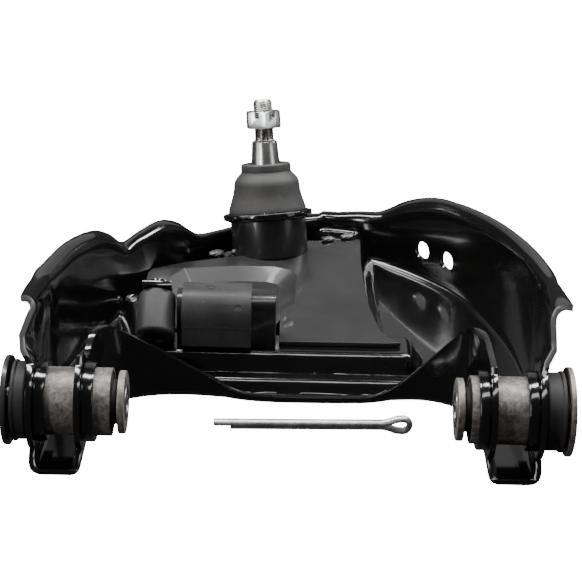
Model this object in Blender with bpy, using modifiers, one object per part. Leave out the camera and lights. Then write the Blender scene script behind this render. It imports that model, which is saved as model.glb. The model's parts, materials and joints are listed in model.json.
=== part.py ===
"""Stamped-steel suspension control arm with two bushings, a ball joint, two bumpers and a loose cotter pin.

Lengths below are in millimetres. X runs along the bushing axis, Y from the bushings to the ball joint, Z up along the
ball stud. Positions are measured from the middle of the bushing axis; SHIFT moves them to the middle of the base.
"""

import math

import bmesh
import bpy
import numpy as np
from mathutils import Matrix, Vector

# ---------------------------------------------------------------- driving dimensions
SHIFT = np.array([1.6, -141.3, 35.0])
SHEET = 3.5
FLOOR = -33.25
BED = -13.05
GAP = 0.3

SLEEVE_R = 20.5
SLEEVE_WALL = 2.0
BORE_R = 7.2
INNER_R = 10.5
COLLAR_R = 24.2
EYE_R = 29.0

LEFT = dict(washer_out=(-171.0, -167.8), flange=(-165.9, -156.6), sleeve=(-152.4, -107.0), neck=(-107.0, -103.3),
            washer_in=(-103.0, -98.8), ears=((-155.55, -152.05), (-127.35, -123.85)), collars=((-151.7, -145.0),
            (-123.5, -116.6)))
RIGHT = dict(washer_out=(164.6, 167.8), flange=(151.0, 162.7), sleeve=(107.0, 149.6), neck=(103.3, 107.0),
             washer_in=(98.8, 103.0), ears=((146.55, 150.05), (117.65, 121.15)), collars=((140.0, 146.2),
             (111.0, 117.3)))

BALL = np.array([-18.6, 264.0, -1.6])
HOUSING_AXIS = np.array([-math.tan(math.radians(5.8)), math.tan(math.radians(18.8)), 1.0])
STUD_AXIS = np.array([-math.tan(math.radians(4.2)), math.tan(math.radians(15.0)), 1.0])
BALL_R = 16.0
HOUSING_R = 28.0

PLATE_TOP = -8.0
PLATE_T = 3.0
RECESS = 8.0

PIN_SLOPE = 0.0293

# Inner path x, y; outer path x, y; inner wall top; rim height; outward lean of the outer wall.
STATIONS = [
    (-125.6, -32, -153.8, -32, 31.0, 60.0, 0.0),
    (-125.6, -14, -153.8, -14, 31.0, 60.0, 0.0),
    (-125.6, 2, -153.8, 2, 31.0, 59.0, 0.0),
    (-125.6, 16, -153.8, 17, 21.0, 58.0, 0.0),
    (-125.4, 30, -155.5, 34, 18.0, 55.0, -2.0),
    (-123.0, 43, -160.5, 64, 24.5, 50.0, -7.0),
    (-116.0, 54, -153.5, 95, 24.5, 46.5, -3.5),
    (-106.5, 62, -144.5, 130, 16.5, 43.5, -1.0),
    (-95.0, 66.5, -133.5, 160, 8.0, 36.5, 1.5),
    (-86.0, 68.7, -126.0, 179, 2.0, 26.5, 1.5),
    (-78.0, 69.6, -118.0, 193, -3.5, 14.5, 1.5),
    (-69.0, 70, -107.0, 208, -9.0, 16.5, 2.5),
    (-59.0, 69.5, -95.0, 226, -14.5, 17.0, 3.0),
    (-49.0, 68.5, -84.0, 241, -19.5, 10.0, 3.0),
    (-39.0, 67.3, -71.0, 256, -25.5, -3.5, 2.0),
    (-29.0, 66.3, -55.0, 273, -28.3, -7.0, 1.5),
    (-18.0, 65.5, -37.5, 288.5, -29.3, -8.0, 1.0),
    (-6.0, 65, -17.0, 299.5, -29.5, -8.0, 0.0),
    (7.0, 65, 5.0, 302.5, -29.5, -5.0, 0.0),
    (21.0, 65.2, 27.0, 302.5, -29.5, -2.4, 0.0),
    (36.0, 65.8, 48.0, 297.5, -29.5, 0.6, 1.0),
    (52.0, 67, 66.0, 288.0, -29.0, 4.5, 2.0),
    (66.0, 68.5, 85.0, 272.5, -23.0, 18.5, 3.0),
    (80.0, 69.5, 103.0, 254, -11.0, 28.0, 3.0),
    (92.0, 67.5, 121.0, 230, 3.0, 32.0, 3.0),
    (102.5, 62.5, 135.5, 201, 17.0, 35.5, 3.0),
    (111.0, 55, 147.0, 166, 28.0, 39.0, 3.0),
    (117.0, 43, 155.0, 125, 31.0, 43.0, 2.5),
    (119.2, 30, 157.5, 80, 30.5, 48.0, 1.5),
    (119.4, 18, 152.6, 46, 30.5, 54.0, 1.0),
    (119.4, 6, 148.3, 24, 31.0, 58.0, 0.5),
    (119.4, -4, 148.3, 5, 31.0, 60.0, 0.0),
    (119.4, -18, 148.3, -12, 31.0, 61.0, 0.0),
    (119.4, -32, 148.3, -32, 31.0, 61.0, 0.0),
]

# ---------------------------------------------------------------- scene and materials
for old in list(bpy.data.objects):
    bpy.data.objects.remove(old, do_unlink=True)

ARM = bpy.data.collections.new("control_arm")
CUTTERS = bpy.data.collections.new("cutters")
bpy.context.scene.collection.children.link(ARM)
bpy.context.scene.collection.children.link(CUTTERS)
CUTTERS.hide_render = True


def material(name, colour, metallic, roughness):
    m = bpy.data.materials.new(name)
    m.use_nodes = True
    shader = m.node_tree.nodes["Principled BSDF"]
    shader.inputs["Base Color"].default_value = (*colour, 1.0)
    shader.inputs["Metallic"].default_value = metallic
    shader.inputs["Roughness"].default_value = roughness
    return m


PAINT = material("black_paint", (0.020, 0.020, 0.022), 0.0, 0.28)
RUBBER = material("black_rubber", (0.018, 0.018, 0.018), 0.0, 0.75)
STEEL = material("plain_steel", (0.46, 0.46, 0.47), 1.0, 0.35)
ZINC = material("zinc_plate", (0.72, 0.72, 0.74), 1.0, 0.28)
POLYMER = material("bearing_polymer", (0.75, 0.73, 0.66), 0.0, 0.45)
STUD_STEEL = material("stud_steel", (0.62, 0.62, 0.64), 1.0, 0.18)
WELD = material("weld_metal", (0.16, 0.16, 0.17), 0.6, 0.45)


# ---------------------------------------------------------------- mesh helpers
def solid(name, verts, faces, mat, origin=None, cutter=False):
    """One closed mesh object. verts are in millimetres from the bushing axis; origin is the object's own origin."""
    pts = (np.asarray(verts, float) + SHIFT) * 0.001
    base = np.zeros(3) if origin is None else (np.asarray(origin, float) + SHIFT) * 0.001
    bm = bmesh.new()
    made = [bm.verts.new(p - base) for p in pts]
    for f in faces:
        bm.faces.new([made[i] for i in f])
    bmesh.ops.recalc_face_normals(bm, faces=bm.faces)
    mesh = bpy.data.meshes.new(name)
    bm.to_mesh(mesh)
    bm.free()
    mesh.materials.append(mat)
    obj = bpy.data.objects.new(name, mesh)
    obj.location = base
    if cutter:
        obj.hide_render = True
        obj.display_type = "WIRE"
        CUTTERS.objects.link(obj)
    else:
        ARM.objects.link(obj)
    return obj


def axes_of(direction):
    """Two unit vectors square to the direction, and the unit direction."""
    w = np.asarray(direction, float)
    w = w / np.linalg.norm(w)
    ref = np.array([1.0, 0.0, 0.0]) if abs(w[0]) < 0.9 else np.array([0.0, 1.0, 0.0])
    v = np.cross(w, ref)
    v = v / np.linalg.norm(v)
    u = np.cross(v, w)
    return u, v, w


def revolve(name, profile, centre, direction, mat, steps=36, origin=None, cutter=False, lean=None):
    """A closed ring-shaped or solid body: profile is a loop of (radius, distance along the direction).

    lean gives the direction at each distance, for a body that bends sideways."""
    c = np.asarray(centre, float)
    verts = []
    rings = []
    for r, t in profile:
        u, v, w = axes_of(direction if lean is None else lean(t))
        if r < 1e-9:
            rings.append([len(verts)])
            verts.append(c + w * t)
            continue
        ring = []
        for k in range(steps):
            a = 2.0 * math.pi * k / steps
            ring.append(len(verts))
            verts.append(c + w * t + r * (u * math.cos(a) + v * math.sin(a)))
        rings.append(ring)
    faces = []
    count = len(rings)
    for i in range(count):
        a, b = rings[i], rings[(i + 1) % count]
        if len(a) == 1 and len(b) == 1:
            continue
        for k in range(steps):
            n = (k + 1) % steps
            if len(a) == 1:
                faces.append((a[0], b[k], b[n]))
            elif len(b) == 1:
                faces.append((a[k], b[0], a[n]))
            else:
                faces.append((a[k], b[k], b[n], a[n]))
    return solid(name, verts, faces, mat, origin, cutter)


def prism(name, outline, lo, hi, mat, axis=2, cutter=False):
    """An outline of points pushed from lo to hi along one axis. The outline's points are in the other two axes."""
    others = [i for i in range(3) if i != axis]
    verts = []
    for level in (lo, hi):
        for p in outline:
            q = np.zeros(3)
            q[others[0]], q[others[1]] = p
            q[axis] = level
            verts.append(q)
    n = len(outline)
    faces = [tuple(range(n)), tuple(range(2 * n - 1, n - 1, -1))]
    faces += [(i, (i + 1) % n, n + (i + 1) % n, n + i) for i in range(n)]
    return solid(name, verts, faces, mat, None, cutter)


def band(name, path, width_lo, width_hi, thickness, mat, cutter=False):
    """A bent strip: path is a line of (y, z) points on its outer face, thickness goes to the left of the path."""
    p = np.asarray(path, float)
    seg = np.diff(p, axis=0)
    seg = seg / np.linalg.norm(seg, axis=1)[:, None]
    left = np.stack([-seg[:, 1], seg[:, 0]], axis=1)
    offs = [left[0]]
    for a, b in zip(left[:-1], left[1:]):
        m = a + b
        offs.append(m / max(1e-6, float(m @ a)))
    offs.append(left[-1])
    inner = p + thickness * np.array(offs)
    loop = np.concatenate([p, inner[::-1]])
    return prism(name, [tuple(q) for q in loop], width_lo, width_hi, mat, axis=0, cutter=cutter)


def bevel(obj, width, segments=2, angle=35.0):
    m = obj.modifiers.new("soft_edges", "BEVEL")
    m.width = width * 0.001
    m.segments = segments
    m.limit_method = "ANGLE"
    m.angle_limit = math.radians(angle)
    m.use_clamp_overlap = True
    return obj


def boolean(obj, tool, operation):
    m = obj.modifiers.new(tool.name, "BOOLEAN")
    m.operation = operation
    m.object = tool
    m.solver = "EXACT"
    return obj


def cut(obj, *tools):
    for tool in tools:
        boolean(obj, tool, "DIFFERENCE")
    return obj


def smooth(t):
    t = np.clip(t, 0.0, 1.0)
    return t * t * (3.0 - 2.0 * t)


def rise(x, start, end):
    return smooth((x - start) / (end - start))


def arc(cx, cy, r, a0, a1, n):
    """Points of an arc, in degrees, ends included."""
    out = []
    for i in range(n + 1):
        a = math.radians(a0 + (a1 - a0) * i / n)
        out.append((cx + r * math.cos(a), cy + r * math.sin(a)))
    return out


# ---------------------------------------------------------------- main stamping
def plate_right(y):
    """X of the closing plate's right edge at each Y."""
    return float(np.interp(y, [100, 106, 124, 163, 200, 233, 276], [74.0, 70.0, 57.7, 52.0, 50.0, 49.0, 49.5]))


def floor_height(x, y):
    """Middle surface of the pan floor: front steps, the bed beside the closing plate, the ball joint bed, a ridge."""
    z = FLOOR
    middle = rise(x, -104, -90) * (1.0 - rise(x, 74, 88))
    low_step = rise(y, 73, 80) * middle
    z += 8.0 * low_step * (1.0 - rise(y, 120, 140))
    front = rise(y, 86.5, 94) * (1.0 - rise(y, 117, 129)) * middle
    side = rise(y, 86.5, 94) * rise(x, 8, 22) * (1.0 - rise(x, plate_right(y) - 3, plate_right(y) + 11))
    round_bed = 1.0 - rise(math.hypot(x - BALL[0], y - BALL[1] + 3.0), 37, 50)
    fade = float(np.interp(x, [-60, -35, 0, 12], [246, 264, 276, 279]))
    round_bed *= 1.0 - rise(y, fade, fade + 11)
    back = rise(y, 224, 238) * rise(x, -62, -48) * (1.0 - rise(x, 46, 60)) * (1.0 - rise(y, fade, fade + 11))
    bed = max(front, side, round_bed, back)
    z = z + (BED - z) * bed
    shelf_edge = -105.0 - (y - 90.0) * 0.179
    shelf = rise(x, shelf_edge - 1, shelf_edge + 8) * (1.0 - rise(x, -84, -64)) * rise(y, 84, 97) * (1.0 - rise(y, 190, 214))
    z = max(z, FLOOR + 11.2 * shelf)
    return z


def spline(rows, count):
    """Stations along the arm, evenly mixed by a smooth curve through the table's rows."""
    rows = np.asarray(rows, float)
    n = len(rows)
    out = []
    for k in range(count):
        s = k * (n - 1) / (count - 1)
        i = min(int(s), n - 2)
        f = s - i
        p0, p1, p2, p3 = rows[max(i - 1, 0)], rows[i], rows[i + 1], rows[min(i + 2, n - 1)]
        out.append(0.5 * (2 * p1 + (p2 - p0) * f + (2 * p0 - 5 * p1 + 4 * p2 - p3) * f * f
                          + (3 * p1 - p0 - 3 * p2 + p3) * f * f * f))
    return np.array(out)


def press(ox, y, z):
    """How far the outer wall stands outside the flat ear that is pressed round the bushing."""
    wall = 155.8 if ox > 0 else 161.0
    step = max(0.0, wall - abs(ox)) * (1.0 - rise(y, 60, 90))
    if ox < 0:
        step *= 1.0 - 0.95 * rise(z, 38, 58)
    return step * rise(math.hypot(max(0.0, y), max(0.0, z)), 30.0 if ox > 0 else 27.0, 37.0)


FLOOR_T = [0.0, 0.035, 0.065, 0.10, 0.135, 0.18, 0.24, 0.34, 0.46, 0.58, 0.69, 0.79, 0.87, 0.94, 1.0]


def stamping_rows(count):
    """Middle-surface points: one row for each station, from the inner wall's top to the rolled rim's tip."""
    rows = []
    for ix, iy, ox, oy, z_in, z_rim, lean in spline(STATIONS, count):
        inner = np.array([ix, iy])
        outer = np.array([ox, oy])
        span = np.linalg.norm(outer - inner)
        w = (outer - inner) / span
        wide = float(np.clip((span - 50.0) / 90.0, 0.0, 1.0))
        high = float(rise(z_rim, 5, 30))
        if ox < 0:
            high *= float(rise(oy, 25, 120))
        rim_r = 5.0 + 3.0 * high
        out_r = 6.5 + 2.5 * wide - 3.5 * wide * float(1.0 - rise(z_rim, 0, 12))
        in_r = min(5.0 + 2.0 * wide, 0.8 * (z_in - FLOOR))
        row = []

        def put(a, z):
            q = inner + w * a
            row.append((q[0], q[1], z))

        top = max(z_in, FLOOR + in_r + 0.5)
        low = FLOOR + in_r
        for f in (0.0, 0.33, 0.67):
            put(0.0, top + (low - top) * f)
        for a in (0.0, 30.0, 60.0):
            put(in_r * (1 - math.cos(math.radians(a))), low - in_r * math.sin(math.radians(a)))
        for k, packed in enumerate(FLOOR_T):
            f = packed * wide + k / (len(FLOOR_T) - 1) * (1.0 - wide)
            a = in_r + (span - in_r - out_r) * f
            q = inner + w * a
            row.append((q[0], q[1], floor_height(q[0], q[1])))
        base = row[-1][2]
        for a in (30.0, 60.0, 90.0):
            put(span - out_r + out_r * math.sin(math.radians(a)), base + out_r * (1 - math.cos(math.radians(a))))
        z0 = base + out_r
        z1 = max(z_rim - rim_r, z0 + 1.0)
        q_out = outer
        top_a = span + lean + press(ox, oy, z1)
        for f in (0.3, 0.6, 1.0):
            z = z0 + (z1 - z0) * f
            put(span + lean * f + press(ox, q_out[1], z), z)
        for a in (30.0, 60.0, 90.0):
            put(top_a + rim_r * (1 - math.cos(math.radians(a))), z1 + rim_r * math.sin(math.radians(a)))
        flange = 3.0 + 5.0 * float(rise(z_rim, -2, 15)) - 3.0 * high
        if ox < 0:
            flange -= 5.0 * float(1.0 - rise(oy, 25, 120)) + 0.5 * float(1.0 - rise(oy, 60, 190))
        put(top_a + rim_r + flange * 0.5, z1 + rim_r - 0.035 * flange)
        put(top_a + rim_r + flange, z1 + rim_r - 0.15 * flange)
        rows.append(row)
    return np.array(rows)


def thicken(rows, thickness):
    """Both faces of a sheet round a grid of middle points, joined along the four edges into one closed body."""
    quad = np.cross(rows[1:, 1:] - rows[:-1, :-1], rows[:-1, 1:] - rows[1:, :-1])
    quad = -quad / np.linalg.norm(quad, axis=2)[:, :, None]
    n = np.zeros_like(rows)
    n[:-1, :-1] += quad
    n[1:, :-1] += quad
    n[:-1, 1:] += quad
    n[1:, 1:] += quad
    n = n / np.linalg.norm(n, axis=2)[:, :, None]
    a = rows + n * thickness / 2.0
    b = rows - n * thickness / 2.0
    r, c = rows.shape[:2]
    verts = np.concatenate([a.reshape(-1, 3), b.reshape(-1, 3)])
    faces = []
    for i in range(r - 1):
        for j in range(c - 1):
            p = i * c + j
            faces.append((p, p + 1, p + c + 1, p + c))
            q = r * c + p
            faces.append((q, q + c, q + c + 1, q + 1))
    edge = [(i, 0) for i in range(r)] + [(r - 1, j) for j in range(1, c)]
    edge += [(i, c - 1) for i in range(r - 2, -1, -1)] + [(0, j) for j in range(c - 2, 0, -1)]
    for (i, j), (k, m) in zip(edge, edge[1:] + edge[:1]):
        p, q = i * c + j, k * c + m
        faces.append((p, q, r * c + q, r * c + p))
    return verts, faces


def stamping():
    verts, faces = thicken(stamping_rows(50), SHEET)
    arm = solid("arm_stamping", verts, faces, PAINT)
    for k, side in enumerate((LEFT, RIGHT)):
        lo = min(side["sleeve"]) - 30.0
        hi = max(side["sleeve"]) + 30.0
        ear_hole = revolve(f"ear_hole_{k}", [(0, lo), (SLEEVE_R + GAP, lo), (SLEEVE_R + GAP, hi), (0, hi)], (0, 0, 0),
                           (1, 0, 0), PAINT, 32, cutter=True)
        cut(arm, ear_hole)
    seat = revolve("housing_hole", [(0, -40), (HOUSING_R + GAP, -40), (HOUSING_R + GAP, 30), (0, 30)], BALL,
                   HOUSING_AXIS, PAINT, 40, cutter=True)
    cut(arm, seat)
    nose = [(-80, -60), (-29, -60), (-28, -32)] + arc(0, 0, EYE_R, 232, 104, 13)
    nose += [(-3.5, 31.5), (7.0, 42.0), (22.5, 60.0), (40.0, 90.0), (-80, 90)]
    cut(arm, prism("nose_profile", nose, -220, 220, PAINT, axis=0, cutter=True))
    for k, (x, y, z) in enumerate(((97.0, 262.0, -10.1), (114.9, 243.0, -9.4))):
        hole = revolve(f"wall_hole_{k}", [(0, -25), (6.8, -25), (6.8, 25), (0, 25)], (x, y, z), (0.76, 0.64, 0.0),
                       PAINT, 24, cutter=True)
        cut(arm, hole)
    return arm


# ---------------------------------------------------------------- closing plate
PLATE_OUTLINE = [
    (-104.0, 112.0), (-104.8, 168.0), (-104.0, 206.0), (-101.5, 213.0), (-79.0, 226.0), (-45.0, 237.5), (24.0, 259.0),
    (41.0, 270.5), (48.0, 275.5), (49.6, 273.0), (49.0, 233.0), (50.0, 200.0), (52.0, 163.0), (57.7, 124.0),
    (63.0, 112.0), (71.5, 103.0), (60.0, 101.8), (-8.6, 101.5), (-8.6, 134.0), (-8.6, 149.0), (0.8, 160.0), (2.2, 207.0),
    (-2.5, 216.5), (-14.0, 221.5), (-40.0, 221.5), (-79.0, 215.0), (-90.0, 196.0), (-100.0, 170.0), (-101.8, 134.0),
    (-101.8, 112.0),
]
RECESS_OUTLINE = [
    (-101.8, 134.0), (-100.0, 170.0), (-90.0, 196.0), (-79.0, 215.0), (-40.0, 221.5), (-14.0, 221.5), (-2.5, 216.5),
    (2.2, 207.0), (0.8, 160.0), (-8.6, 149.0), (-8.6, 134.0),
]
RECESS_FLOOR = [
    (-99.4, 134.0), (-94.5, 168.0), (-81.0, 188.0), (-73.0, 206.0), (-40.0, 212.0), (-20.0, 212.0), (-12.0, 208.0),
    (-9.5, 200.0), (-10.5, 160.0), (-14.0, 149.0),
    (-14.0, 134.0),
]


def closing_plate():
    """Flat plate with a sunken pocket that is open to the front."""
    top = []
    faces = []
    n = len(PLATE_OUTLINE)
    m = len(RECESS_FLOOR)
    for x, y in PLATE_OUTLINE:
        top.append((x, y, PLATE_TOP))
    for x, y in RECESS_FLOOR:
        top.append((x, y, PLATE_TOP - RECESS))
    rim = [PLATE_OUTLINE.index(p) for p in RECESS_OUTLINE]
    bed = [n + k for k in range(m)]
    upper = [tuple(range(n)), tuple(bed)]
    for k in range(m - 1):
        upper.append((rim[k], rim[k + 1], bed[k + 1], bed[k]))
    total = len(top)
    verts = [(x, y, z) for x, y, z in top] + [(x, y, z - PLATE_T) for x, y, z in top]
    used = {}
    for f in upper:
        faces.append(f)
        faces.append(tuple(total + i for i in reversed(f)))
        for a, b in zip(f, f[1:] + f[:1]):
            key = (min(a, b), max(a, b))
            used[key] = used.get(key, 0) + 1
    for (a, b), times in used.items():
        if times == 1:
            faces.append((a, b, total + b, total + a))
    plate = solid("closing_plate", verts, faces, PAINT)
    tri = plate.modifiers.new("flat_faces", "TRIANGULATE")
    tri.quad_method = "FIXED"
    hole = revolve("plate_hole", [(0, -40), (HOUSING_R + 0.6, -40), (HOUSING_R + 0.6, 30), (0, 30)], BALL,
                   HOUSING_AXIS, PAINT, 40, cutter=True)
    return cut(plate, hole)


def weld(name, points, radius):
    """A low weld bead: a half-round string of puddles along a line."""
    pts = np.asarray(points, float)
    seg = np.linalg.norm(np.diff(pts, axis=0), axis=1)
    run = np.concatenate([[0.0], np.cumsum(seg)])
    count = max(6, int(run[-1] / 2.2))
    verts = []
    sides = 8
    for k in range(count + 1):
        s = run[-1] * k / count
        p = np.array([np.interp(s, run, pts[:, i]) for i in range(3)])
        e = 1e-3 * run[-1]
        a = np.array([np.interp(max(0, s - e), run, pts[:, i]) for i in range(3)])
        b = np.array([np.interp(min(run[-1], s + e), run, pts[:, i]) for i in range(3)])
        t = (b - a) / np.linalg.norm(b - a)
        side = np.cross((0, 0, 1), t)
        side = side / np.linalg.norm(side)
        grow = 0.45 + 0.55 * math.sin(math.pi * min(1.0, max(0.0, k / count))) ** 0.35
        r = radius * grow * (1.0 + 0.10 * math.sin(k * 2.1))
        for j in range(sides):
            a = math.pi * j / (sides - 1)
            verts.append(p + side * r * math.cos(a) + np.array([0, 0, 0.75 * r * math.sin(a)]))
    faces = [tuple(range(sides)), tuple(range(count * sides + sides - 1, count * sides - 1, -1))]
    for k in range(count):
        for j in range(sides):
            m = (j + 1) % sides
            faces.append((k * sides + j, k * sides + m, (k + 1) * sides + m, (k + 1) * sides + j))
    return solid(name, verts, faces, WELD)


# ---------------------------------------------------------------- bumpers
BRACKET_X = (-75.6, -11.0)
BLOCK_X = (-72.0, -27.0)


def bumper_pieces():
    path = [(97.0, -11.0), (97.0, 15.5)] + arc(106.0, 15.5, 9.0, 180, 90, 6)[1:] + [(110.0, 24.5)]
    path += arc(110.0, 18.5, 6.0, 90, 0, 5)[1:] + [(116.0, -11.0)]
    bracket = band("bumper_bracket", path, BRACKET_X[0], BRACKET_X[1], -3.0, PAINT)
    mid = 0.5 * (BLOCK_X[0] + BLOCK_X[1])
    hole = revolve("bracket_hole", [(0, -8), (4.4, -8), (4.4, 8), (0, 8)], (mid, 98.5, 5.0), (0, 1, 0), PAINT, 20,
                   cutter=True)
    cut(bracket, hole)
    loop = [(96.7, -7.2), (89.0, -7.2), (88.0, -6.2), (88.0, 7.5)]
    loop += [(104.0 - 16.0 * math.cos(math.radians(a)), 7.5 + 20.5 * math.sin(math.radians(a)))
             for a in (12, 24, 36, 48, 60, 72, 82, 90)]
    loop += [(114.0, 28.0), (115.0, 27.0), (114.4, 23.5)]
    loop += arc(110.0, 18.5, 6.3, 45, 90, 2)[1:] + arc(106.0, 15.5, 9.3, 90, 180, 6)
    block = prism("block_bumper", loop, BLOCK_X[0], BLOCK_X[1], RUBBER, axis=0)
    pocket = revolve("stud_pocket", [(0, -2.6), (10.3, -2.6), (10.3, 6), (0, 6)], (mid, 96.7, 5.0), (0, 1, 0), RUBBER,
                     24, cutter=True)
    cut(block, pocket)
    bevel(block, 0.8, 2, 50)
    revolve("block_bumper_stud", [(0, -2.2), (10.0, -2.2), (10.0, 0.0), (4.0, 0.0), (4.0, 9.6), (3.4, 10.2),
            (0, 10.2)], (mid, 96.7, 5.0), (0, 1, 0), ZINC, 24)
    hex_nut("block_bumper_nut", (mid, 100.3, 5.0), (0, 1, 0), 6.5, 4.3, 6.0, ZINC)

    down = np.array([0.0, -math.cos(math.radians(38)), -math.sin(math.radians(38))])
    foot = np.array([-89.2, 113.5, 18.4])
    revolve("round_bumper", [(0, 2.6), (9.4, 2.6), (9.4, 0.0), (10.8, 0.0), (11.8, 1.2), (12.2, 6.0), (12.6, 20.0),
            (12.8, 29.5), (11.8, 31.2), (7.2, 31.6), (6.8, 29.4), (0, 29.4)], foot, down, RUBBER, 36)
    revolve("round_bumper_stud", [(0, 2.3), (9.1, 2.3), (9.1, 0.3), (4.0, 0.3), (4.0, -9.4), (3.4, -10.0),
            (0, -10.0)], foot, down, ZINC, 20)
    up = np.array([0.0, -down[2], down[1]])
    back = -down

    def at(along_up, behind):
        p = foot + up * along_up + back * behind
        return (p[1], p[2])

    path = [at(-13.0, 0.3), at(8.5, 0.3), at(10.8, 1.2), at(12.0, 4.0)]
    knee = path[-1]
    path += [(knee[0] + 5.5, knee[1] - 7.0), (136.0, -8.0), (136.0, -15.7)]
    seat = band("round_bumper_seat", path, -98.5, -79.5, 3.0, PAINT)
    hole = revolve("seat_hole", [(0, -10), (4.4, -10), (4.4, 6), (0, 6)], foot, down, PAINT, 20, cutter=True)
    cut(seat, hole)
    hex_nut("round_bumper_nut", tuple(foot + back * 3.6), tuple(back), 6.5, 4.3, 5.0, ZINC)


def hex_nut(name, base, direction, half_flats, bore, height, mat, origin=None):
    """A plain nut: a hexagon with a round hole, bevelled corners left off."""
    u, v, w = axes_of(direction)
    b = np.asarray(base, float)
    verts = []
    ring_out = []
    steps = 24
    for t in (0.0, height):
        for k in range(steps):
            a = 2 * math.pi * k / steps
            local = (a + math.pi / 6) % (math.pi / 3) - math.pi / 6
            verts.append(b + w * t + half_flats / math.cos(local) * (u * math.cos(a) + v * math.sin(a)))
    for t in (0.0, height):
        for k in range(steps):
            a = 2 * math.pi * k / steps
            verts.append(b + w * t + bore * (u * math.cos(a) + v * math.sin(a)))
    s = steps
    faces = []
    for k in range(s):
        n = (k + 1) % s
        faces.append((k, n, s + n, s + k))
        faces.append((2 * s + k, 3 * s + k, 3 * s + n, 2 * s + n))
        faces.append((s + k, s + n, 3 * s + n, 3 * s + k))
        faces.append((k, 2 * s + k, 2 * s + n, n))
    return solid(name, verts, faces, mat, origin)


# ---------------------------------------------------------------- bushings
def bushing(tag, side, sign):
    """Pressed-in bushing. Distances run outward along the axis, away from the arm's middle."""
    def span(pair):
        a, b = sorted(abs(v) for v in pair)
        return a, b

    way = (sign, 0, 0)
    home = (0, 0, 0)
    s0, s1 = span(side["sleeve"])
    f0, f1 = span(side["flange"])
    n0, n1 = span(side["neck"])
    wi0, wi1 = span(side["washer_in"])
    wo0, wo1 = span(side["washer_out"])
    wall = SLEEVE_R - SLEEVE_WALL
    for place, pair in zip(("outer", "inner"), side["collars"]):
        c0, c1 = span(pair)
        revolve(f"ear_collar_{tag}_{place}", [(SLEEVE_R + GAP, c0), (COLLAR_R - 0.8, c0), (COLLAR_R, c0 + 0.8),
                (COLLAR_R, c1), (SLEEVE_R + GAP, c1)], home, way, PAINT, 32)
    revolve(f"bushing_sleeve_{tag}", [(wall, s0), (SLEEVE_R, s0), (SLEEVE_R, s1), (wall, s1)], home, way, STEEL, 32)
    revolve(f"bushing_rubber_{tag}", [
        (INNER_R + GAP, n0 + 0.3), (12.6, n0 + 0.3), (13.4, n0 + 1.2), (13.6, n1 - 0.6), (wall - GAP, s0 + 0.8),
        (wall - GAP, s1 + 0.4), (wall - GAP, f0 + 0.3), (22.6, f0 + 0.3), (23.6, f0 + 1.3), (23.6, f1 - 2.6),
        (24.6, f1 - 2.0), (24.6, f1 - 0.6), (24.0, f1), (INNER_R + GAP, f1)],
        home, way, RUBBER, 32)
    revolve(f"bushing_inner_sleeve_{tag}", [(BORE_R, wi0 - 0.6), (INNER_R, wi0 - 0.6), (INNER_R, wo1 + 0.0),
            (BORE_R, wo1 + 0.0)], home, way, STEEL, 28)
    revolve(f"bushing_washer_in_{tag}", [(INNER_R + GAP, wi0), (18.2, wi0), (19.0, wi0 + 0.8), (19.0, wi1 - 0.6),
            (18.4, wi1), (INNER_R + GAP, wi1)], home, way, PAINT, 32)
    revolve(f"bushing_washer_out_{tag}", [(INNER_R + GAP, wo0), (26.4, wo0), (27.0, wo0 + 0.6), (27.0, wo1 - 0.6),
            (26.4, wo1 - 0.1), (INNER_R + GAP, wo1 - 0.1)], home, way, PAINT, 32)


# ---------------------------------------------------------------- ball joint
def ball_joint():
    h = HOUSING_AXIS
    revolve("ball_housing", [(21.0, -15.0 + 3.0), (21.0, 11.0), (15.6, 12.2), (15.6, 15.0), (17.0, 16.4),
            (26.6, 16.4), (28.0, 15.0), (28.0, -15.4), (27.0, -16.4), (23.5, -16.4), (23.5, -12.0)], BALL, h, PAINT,
            40)
    revolve("housing_cover", [(0, -16.2), (12.0, -16.2), (14.0, -15.8), (23.1, -15.8), (23.1, -12.4), (21.4, -12.4),
            (20.8, -14.0), (0, -14.0)],
            BALL, h, STEEL, 40)
    revolve("preload_pad", [(20.5, -13.6), (20.5, -4.2), (19.35, -4.2)]
            + [(19.3 * math.cos(math.radians(a)), 19.3 * math.sin(math.radians(a))) for a in (-20, -28)]
            + [(16.2, -10.6), (16.2, -13.6)], BALL, h, RUBBER, 36)
    shell = [(19.0 * math.cos(math.radians(a)), 19.0 * math.sin(math.radians(a))) for a in (-34, -26, -18, -10)]
    shell += [(16.3 * math.cos(math.radians(a)), 16.3 * math.sin(math.radians(a))) for a in (-10, -18, -26, -34)]
    revolve("lower_cup", shell, BALL, h, POLYMER, 36, origin=BALL)
    inner = [(16.3 * math.cos(math.radians(a)), 16.3 * math.sin(math.radians(a))) for a in (0, 8, 16, 24, 32)]
    revolve("upper_bearing", [(20.6, -0.4), (20.6, 10.6), (14.6, 11.4)] + inner[::-1] + [(16.6, -0.4)], BALL, h,
            POLYMER, 36)
    return h


def ball_stud():
    ball = [(BALL_R * math.cos(math.radians(a)), BALL_R * math.sin(math.radians(a)))
            for a in (-38, -30, -20, -10, 0, 9, 18, 27, 36, 45, 54)]
    profile = [(0, ball[0][1])] + ball
    profile += [(8.5, 14.6), (8.5, 22.0), (10.0, 26.0), (11.2, 31.0), (11.2, 46.0), (9.3, 70.0), (7.15, 71.4)]
    profile += [(7.15, 99.2), (5.8, 100.7), (0, 100.7)]
    stud = revolve("ball_stud", profile, BALL, STUD_AXIS, STUD_STEEL, 40, origin=BALL)
    u, v, w = axes_of(STUD_AXIS)
    hole = revolve("pin_hole", [(0, -12), (1.9, -12), (1.9, 12), (0, 12)], BALL + w * 91.6, u, STUD_STEEL, 16,
                   cutter=True)
    return cut(stud, hole)


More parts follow.
